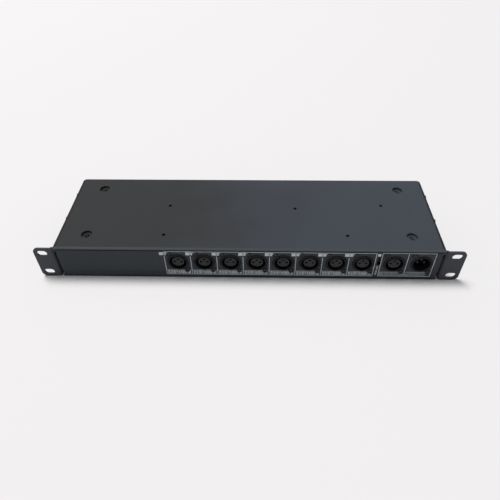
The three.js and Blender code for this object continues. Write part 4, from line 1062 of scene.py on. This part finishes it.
def mains_inlet():
    """The moulded inlet: flange outside the rear wall, body through it, cavity and fuse pocket."""
    outside = REAR + INLET_FLANGE[2]
    flange = plate_piece("inlet_body", INLET_X, INLET_Z, INLET_FLANGE[0], INLET_FLANGE[1], REAR, outside, 4)
    half, rise = INLET_BODY[0] / 2, INLET_BODY[1] / 2
    body = box_piece("body", INLET_X - half, INLET_X + half, REAR - INLET_BODY[2], REAR + 1,
                     INLET_Z - rise, INLET_Z + rise)
    combine(flange, [body], "UNION")
    cutters = [drawn_block("cavity", cavity_outline(), "Y", outside - CAVITY[2], outside + 1)]
    across, up = DRAWER[0] / 2 + SEAM, DRAWER[1] / 2 + SEAM
    cutters.append(box_piece("pocket", INLET_X - across, INLET_X + across, outside - DRAWER[2] - SEAM,
                             outside + 1, DRAWER_Z - up, DRAWER_Z + up))
    for side in (-1, 1):
        cutters.append(rod_piece("hole", "Y", REAR - 1, outside + 1,
                                 (INLET_X + side * INLET_SCREW_SPAN / 2, INLET_Z), SCREW_HOLE, 20))
    combine(flange, [joined(cutters)], "DIFFERENCE")
    return smooth(soften(flange, 0.35, 3, 50), 30)


def inlet_blades():
    """The three plated blades, their tips bevelled, with their tails behind the body."""
    blades = []
    for x, z in ((-7, 1.2), (7, 1.2), (0, -3)):
        blades.append(box_piece("inlet_blades", INLET_X + x - 1, INLET_X + x + 1,
                                REAR - INLET_BODY[2] - TAB_LENGTH, REAR + INLET_FLANGE[2] - 3,
                                CAVITY_Z + z - 2, CAVITY_Z + z + 2))
        soften(blades[-1], 0.4, 2, 60)
    return smooth(joined(blades), 30)


def fuse_drawer():
    """The fuse drawer: a face with a finger groove, and a trough behind it for the fuse."""
    outside = REAR + INLET_FLANGE[2]
    left, right = INLET_X - DRAWER[0] / 2, INLET_X + DRAWER[0] / 2
    low, high = DRAWER_Z - DRAWER[1] / 2, DRAWER_Z + DRAWER[1] / 2
    drawer = box_piece("drawer", left, right, outside - DRAWER[2], outside + DRAWER_LIP, low, high)
    cuts = [box_piece("trough", left + 0.9, right - 0.9, outside - DRAWER[2] + 0.9, outside - 2,
                      low + 0.9, high + 1),
            box_piece("groove", INLET_X - 5, INLET_X + 5, outside + DRAWER_LIP - 0.5, outside + 3,
                      low + 1.4, low + 2.6)]
    combine(drawer, [joined(cuts)], "DIFFERENCE")
    return smooth(soften(drawer, 0.2, 2, 50), 30)


def fuse_parts():
    """The glass tube and the two plated caps of the 5 by 20 mm fuse, lying along X."""
    y, z = REAR + INLET_FLANGE[2] - 5.1, DRAWER_Z - DRAWER[1] / 2 + 3.4
    glass = turned_piece("fuse_glass", [(0, -9), (2.3, -9), (2.3, 9), (0, 9)], sides=32)
    caps = [turned_piece("fuse_caps", [
        (0, side * 10), (2.2, side * 10), (2.5, side * 9.7), (2.5, side * 5), (2.35, side * 5),
        (2.35, side * 9.2), (0, side * 9.2)], sides=32) for side in (-1, 1)]
    made = (smooth(glass, 30), smooth(joined(caps), 30))
    for piece in made:
        piece.data.transform(Matrix.Translation(Vector((INLET_X, y, z)) * MM)
                             @ Matrix.Rotation(-math.pi / 2, 4, "Z"))
    return made


def rocker_frame():
    """The rocker's frame: a rounded bezel outside the wall and an open box through it."""
    outside = REAR + ROCKER_FLANGE[2]
    width, height, depth = ROCKER_BODY
    frame_piece = plate_piece("rocker_bezel", ROCKER_X, ROCKER_Z, ROCKER_FLANGE[0], ROCKER_FLANGE[1],
                              REAR, outside, 1.5)
    body = box_piece("body", ROCKER_X - width / 2, ROCKER_X + width / 2, REAR - depth, REAR + 1,
                     ROCKER_Z - height / 2, ROCKER_Z + height / 2)
    combine(frame_piece, [body], "UNION")
    across, up = width / 2 - ROCKER_WALL, height / 2 - ROCKER_WALL
    cuts = [box_piece("pocket", ROCKER_X - across, ROCKER_X + across, outside - 10, outside + 1,
                      ROCKER_Z - up, ROCKER_Z + up),
            rod_piece("axle hole", "X", ROCKER_X - across - 1, ROCKER_X + across + 1,
                      (outside - ROCKER_PIVOT_INSET, ROCKER_Z), 3, 24)]
    combine(frame_piece, [joined(cuts)], "DIFFERENCE")
    return smooth(soften(frame_piece, 0.3, 3, 50), 30)


def rocker_tabs():
    tabs = [box_piece("rocker_tabs", ROCKER_X - 2.4, ROCKER_X + 2.4, REAR - ROCKER_BODY[2] - TAB_LENGTH,
                      REAR - ROCKER_BODY[2] + 0.5, ROCKER_Z + step - 0.4, ROCKER_Z + step + 0.4)
            for step in (-5, 5)]
    return smooth(soften(joined(tabs), 0.15, 2, 50), 30)


def tilt_rocker(piece):
    """Turns a piece drawn around the rocker's pivot to the rocker's rest, and moves it there."""
    pivot = Vector((ROCKER_X, REAR + ROCKER_FLANGE[2] - ROCKER_PIVOT_INSET, ROCKER_Z)) * MM
    piece.data.transform(Matrix.Translation(pivot) @ Matrix.Rotation(math.radians(-ROCKER_TILT), 4, "X"))
    return piece


def rocker_button():
    """The rocker: a saddle with two finger faces, on its axle."""
    half, reach, rim = ROCKER_BODY[0] / 2 - ROCKER_WALL - SEAM, 8.2, 4
    outline = ((rim, reach), (rim - 0.9, 4.6), (rim - 1.6, 0), (rim - 0.9, -4.6), (rim, -reach), (0, -reach),
               (-3.4, -3), (-3.4, 3), (0, reach))
    button = drawn_block("rocker", outline, "X", -half, half)
    soften(button, 0.5, 3, 50)
    combine(button, [rod_piece("axle", "X", -half - SEAM - 0.7, half + SEAM + 0.7, (0, 0), 2.4, 24)], "UNION")
    return tilt_rocker(smooth(button, 40))


def rocker_marks():
    """The bar and the ring that mark the rocker's two sides, printed on its faces."""
    bar = box_piece("rocker_marks", -0.25, 0.25, 3, 3.42, 4.9, 7.1)
    ring = turned_piece("ring", [(0.8, 3), (1.2, 3), (1.2, 3.42), (0.8, 3.42), (0.8, 3)], (0, -6), 40)
    return tilt_rocker(joined([bar, ring]))


# Print on the panel


def printed_text(words, x, z, height, proud, spin=math.pi):
    """Words in the plane of the panel, upside down as the unit lies, as a thin mesh."""
    bpy.ops.object.select_all(action="DESELECT")
    bpy.ops.object.text_add()
    writing = bpy.context.active_object
    writing.data.body = words
    writing.data.size = height * MM / 0.7
    writing.data.align_x = "CENTER"
    writing.data.align_y = "CENTER"
    writing.data.resolution_u = 3
    writing.data.extrude = 0.01 * MM
    writing.rotation_euler = (math.pi / 2, spin, 0)
    writing.location = Vector((x, FRONT - proud, z)) * MM
    bpy.ops.object.convert(target="MESH")
    return settle(bpy.context.active_object, "words")


def ink_bar(x0, x1, z0, z1, proud=0.02):
    return box_piece("bar", x0, x1, FRONT - proud, FRONT + 0.01, z0, z1)


def panel_lines():
    """The white frame lines round the outputs, the switch and the two sockets beside it."""
    uprights = [(CELL_START + CELL_PITCH * k, 5.3, 34.1) for k in range(8)]
    uprights += [(142.8, 5.3, 41.5), (149.4, 5.3, 41.9), (178.3, 12.6, 41.9), (208.3, 5.3, 41.9)]
    bars = [ink_bar(x - LINE_WIDTH / 2, x + LINE_WIDTH / 2, low, high) for x, low, high in uprights]
    bars += [ink_bar(CELL_START, 142.8, 41, 41 + LINE_WIDTH), ink_bar(149.4, 208.3, 41.3, 41.3 + LINE_WIDTH),
             ink_bar(CELL_START, 142.8, 5, 5 + LINE_WIDTH), ink_bar(149.4, 208.3, 5, 5 + LINE_WIDTH),
             ink_bar(CELL_START, 142.8, 12.3, 12.3 + LINE_WIDTH / 2)]
    return bars


def panel_legend():
    """All white print: the lines, the number tags, and a row of plain numbers under each socket."""
    made = panel_lines()
    for k in range(8):
        x = CELL_START + CELL_PITCH * k
        made.append(ink_bar(x - 5.2, x + 5.2, 35.9, 40.3))
        made.append(printed_text(f"{8 - k} 001-512", x + 14.5, 9, 4.6, 0.05))
    made.append(ink_bar(144.4, 147.8, 36.7, 40.5))
    made.append(printed_text("OFF ON", 146.2, 16, 2.3, 0.05, math.pi / 2))
    made.append(ink_bar(145.4, 147, 7.6, 9.2))
    return named(joined(made), "panel_print")


def panel_strips():
    """The thinner, half-tone print: the strips that the numbers stand on."""
    made = [ink_bar(CELL_START + CELL_PITCH * k + 1.6, CELL_START + CELL_PITCH * (k + 1) - 1.6, 5.9, 12)
            for k in range(8)]
    made.append(ink_bar(149.9, 202.8, 6, 12.6))
    return named(joined(made), "panel_strips")


def panel_figures():
    """The dark numbers printed over the pale tags and strip."""
    made = [printed_text(str(8 - k), CELL_START + CELL_PITCH * k, 38.1, 3.4, 0.05) for k in range(8)]
    made.append(printed_text("001-512", 164.2, 9.2, 4.2, 0.05))
    made.append(ink_bar(179.4, 182.8, 9.6, 11, 0.05))
    made.append(printed_text("001-512", 192.8, 9.2, 4.2, 0.05))
    return named(joined(made), "panel_figures")


# Assembly


def dress_case(paint, ear_paint):
    dress(folded_tray(), paint, replaced=["chassis_tray"])
    dress(folded_lid(), paint, replaced=["lid"])
    for side, name in ((-1, "left"), (1, "right")):
        dress(rack_ear(side, f"rack_ear_{name}"), ear_paint, replaced=[f"ear_{name}"])


def dress_sockets(shell_plastic, insert_plastic, latch_plastic, screw_black, contact_plate, shaded_pin_plate):
    """One set of socket pieces is modelled, and each socket takes a copy of it."""
    housing, insert, sleeves, latch = female_housing(), female_insert(), contact_sleeves(), latch_tab()
    screw = pan_screw("socket_screw", SHEET + FLANGE_THICKNESS / 2)
    for name, x in FEMALES.items():
        dress(copy_piece(housing, f"{name}_shell", x, 0, SOCKET_Z), shell_plastic,
              replaced=[f"{name}_housing"])
        dress(copy_piece(insert, f"{name}_contact_block", x, 0, SOCKET_Z), insert_plastic,
              replaced=[f"{name}_insert"])
        dress(copy_piece(sleeves, f"{name}_sleeves", x, 0, SOCKET_Z), contact_plate)
        dress(copy_piece(latch, f"{name}_push_tab", x, 0, SOCKET_Z), latch_plastic,
              body=f"{name}_latch", replaced=[f"{name}_latch"])
    shell = smooth(socket_shell("male_housing"), 30)
    dress(copy_piece(shell, "input_shell", INPUT_X, 0, SOCKET_Z), shell_plastic,
          replaced=["input_housing"])
    carrier, pins = pin_carrier(), contact_pins()
    dress(copy_piece(carrier, "input_carrier_block", INPUT_X, 0, SOCKET_Z), insert_plastic,
          replaced=["input_pin_carrier"])
    dress(copy_piece(pins, "input_pins", INPUT_X, 0, SOCKET_Z), shaded_pin_plate)
    for name, x in (*FEMALES.items(), ("input", INPUT_X)):
        pair = [copy_piece(screw, f"{name}_screws", x + dx, FRONT, SOCKET_Z + dz, math.pi)
                for dx, dz in SCREW_PLACES]
        dress(joined(pair), screw_black)
    discard(housing, insert, sleeves, latch, screw, shell, carrier, pins)


def dress_screws(screw_black):
    """The screws of the lid, the ears and the mains inlet, as copies of one screw."""
    for side, name in ((-1, "left"), (1, "right")):
        turn = side * -math.pi / 2
        short, long = pan_screw("lid_screw", SCREW_REACH, 3), pan_screw("ear_screw", SCREW_REACH + EAR_SHEET)
        rear = pan_screw("rear_screw", SCREW_REACH + INLET_FLANGE[2])
        for index, (y, z) in enumerate(lid_screw_places(), 1):
            dress(copy_piece(short, f"lid_{name}_screw_{index}", side * TRAY_HALF, y, z, turn), screw_black,
                  replaced=[f"lid_screw_{name}_{index}"])
        for index, (y, z) in enumerate(ear_screw_places(), 1):
            dress(copy_piece(long, f"ear_{name}_screw_{index}", side * (CASE_HALF + EAR_SHEET), y, z, turn),
                  screw_black, replaced=[f"ear_screw_{name}_{index}"])
        dress(copy_piece(rear, f"inlet_{name}_screw", INLET_X + side * INLET_SCREW_SPAN / 2,
                         REAR + INLET_FLANGE[2], INLET_Z), screw_black,
              replaced=[f"inlet_screw_{name}"])
        discard(short, long, rear)


def dress_rear(plastic, rocker_plastic, contact_plate, white_ink, glass):
    dress(mains_inlet(), plastic, replaced=["mains_inlet"])
    dress(inlet_blades(), contact_plate)
    dress(fuse_drawer(), plastic, "fuse_carrier", ["fuse_drawer"])
    tube, caps = fuse_parts()
    dress(tube, glass, "fuse_carrier")
    dress(caps, contact_plate, "fuse_carrier", ["fuse"])
    dress(rocker_frame(), plastic, replaced=["rocker_frame"])
    dress(rocker_tabs(), contact_plate)
    dress(rocker_button(), rocker_plastic, "rocker", ["power_rocker"])
    dress(rocker_marks(), white_ink, "rocker")


def repaint(material, *names):
    """Gives CAD nodes that stay as they are their finished material."""
    for name in names:
        nodes[name].data.materials.clear()
        nodes[name].data.materials.append(material)


camera_like_the_photograph()
studio()

# In each paint the second colour is the painted-light far end, the third the painted highlight by the front
# fold, and the fourth the panel face painted lighter in place of front light.
case_paint = powder_coat("black textured powder coat", "292a2b", "3b4048", "42474e", "34393e")
ear_paint = powder_coat("charcoal powder coat", "434448", "40444a", "46484c", "44464b")
shell_plastic = moulded_plastic("glass-filled nylon", "121315", "191a1d", 0.45, 0.5, 0.12)
insert_plastic = moulded_plastic("matt nylon insert", "313133", "2a2a2c", 0.5, 0.5, 0.2)
latch_plastic = moulded_plastic("smooth acetal", "141517", "1b1c1e", 0.4, 0.8, 0.15)
inlet_plastic = moulded_plastic("moulded polyamide", "141517", "1b1c1e", 0.45, 0.5, 0.3)
screw_black = plated_metal("black zinc plate", "36383c", "2a2c2f", 0.5)
contact_plate = plated_metal("nickel plate", "a8a59e", "8d8a84", 0.32)
# The pins' darker nickel is painted shade, for the shade down in the input socket's bore.
shaded_pin_plate = plated_metal("nickel pins painted dark as shade", "56544f", "403e3a", 0.42)
white_ink = printed_ink("white screen print", "dde2e4", "bcc3c7")
strip_ink = printed_ink("half-tone screen print", "7b868e", "6c767e")
dark_ink = printed_ink("dark screen print", "0d0f11", "16191b")
fuse_glass = drawn_glass("drawn fuse glass", "e3ece8")

dress_case(case_paint, ear_paint)
# The black strips in the side seams are painted shade.
dress(seam_shade_fill(), latch_plastic)
dress_sockets(shell_plastic, insert_plastic, latch_plastic, screw_black, contact_plate, shaded_pin_plate)
dress_screws(screw_black)
dress_rear(inlet_plastic, latch_plastic, contact_plate, white_ink, fuse_glass)
dress(switch_slider(), latch_plastic, "termination_slider", ["termination_switch_slider"])
dress(panel_strips(), strip_ink)
dress(panel_legend(), white_ink)
dress(panel_figures(), dark_ink)

repaint(inlet_plastic, "termination_switch_body")
repaint(circuit_laminate(), "main_board")
repaint(laminated_steel(), "transformer_core")
repaint(moulded_plastic("yellow coil tape", "b38a35", "a07a2c", 0.5, 1.5), "transformer_coil")
repaint(moulded_plastic("shrunk vinyl sleeve", "1f2a44", "26324e", 0.3, 2), "smoothing_capacitor")
repaint(plated_metal("extruded aluminium", "bfc2c4", "a9acaf", 0.35), "regulator_heatsink")
for lead, hex_code in (("live", "6b3d22"), ("switched", "7a1f1f"), ("neutral", "1f3f86"), ("earth", "2f7a35")):
    repaint(insulated_lead(f"{lead} lead vinyl", hex_code), f"lead_{lead}")

bpy.context.scene.view_settings.view_transform = "Standard"
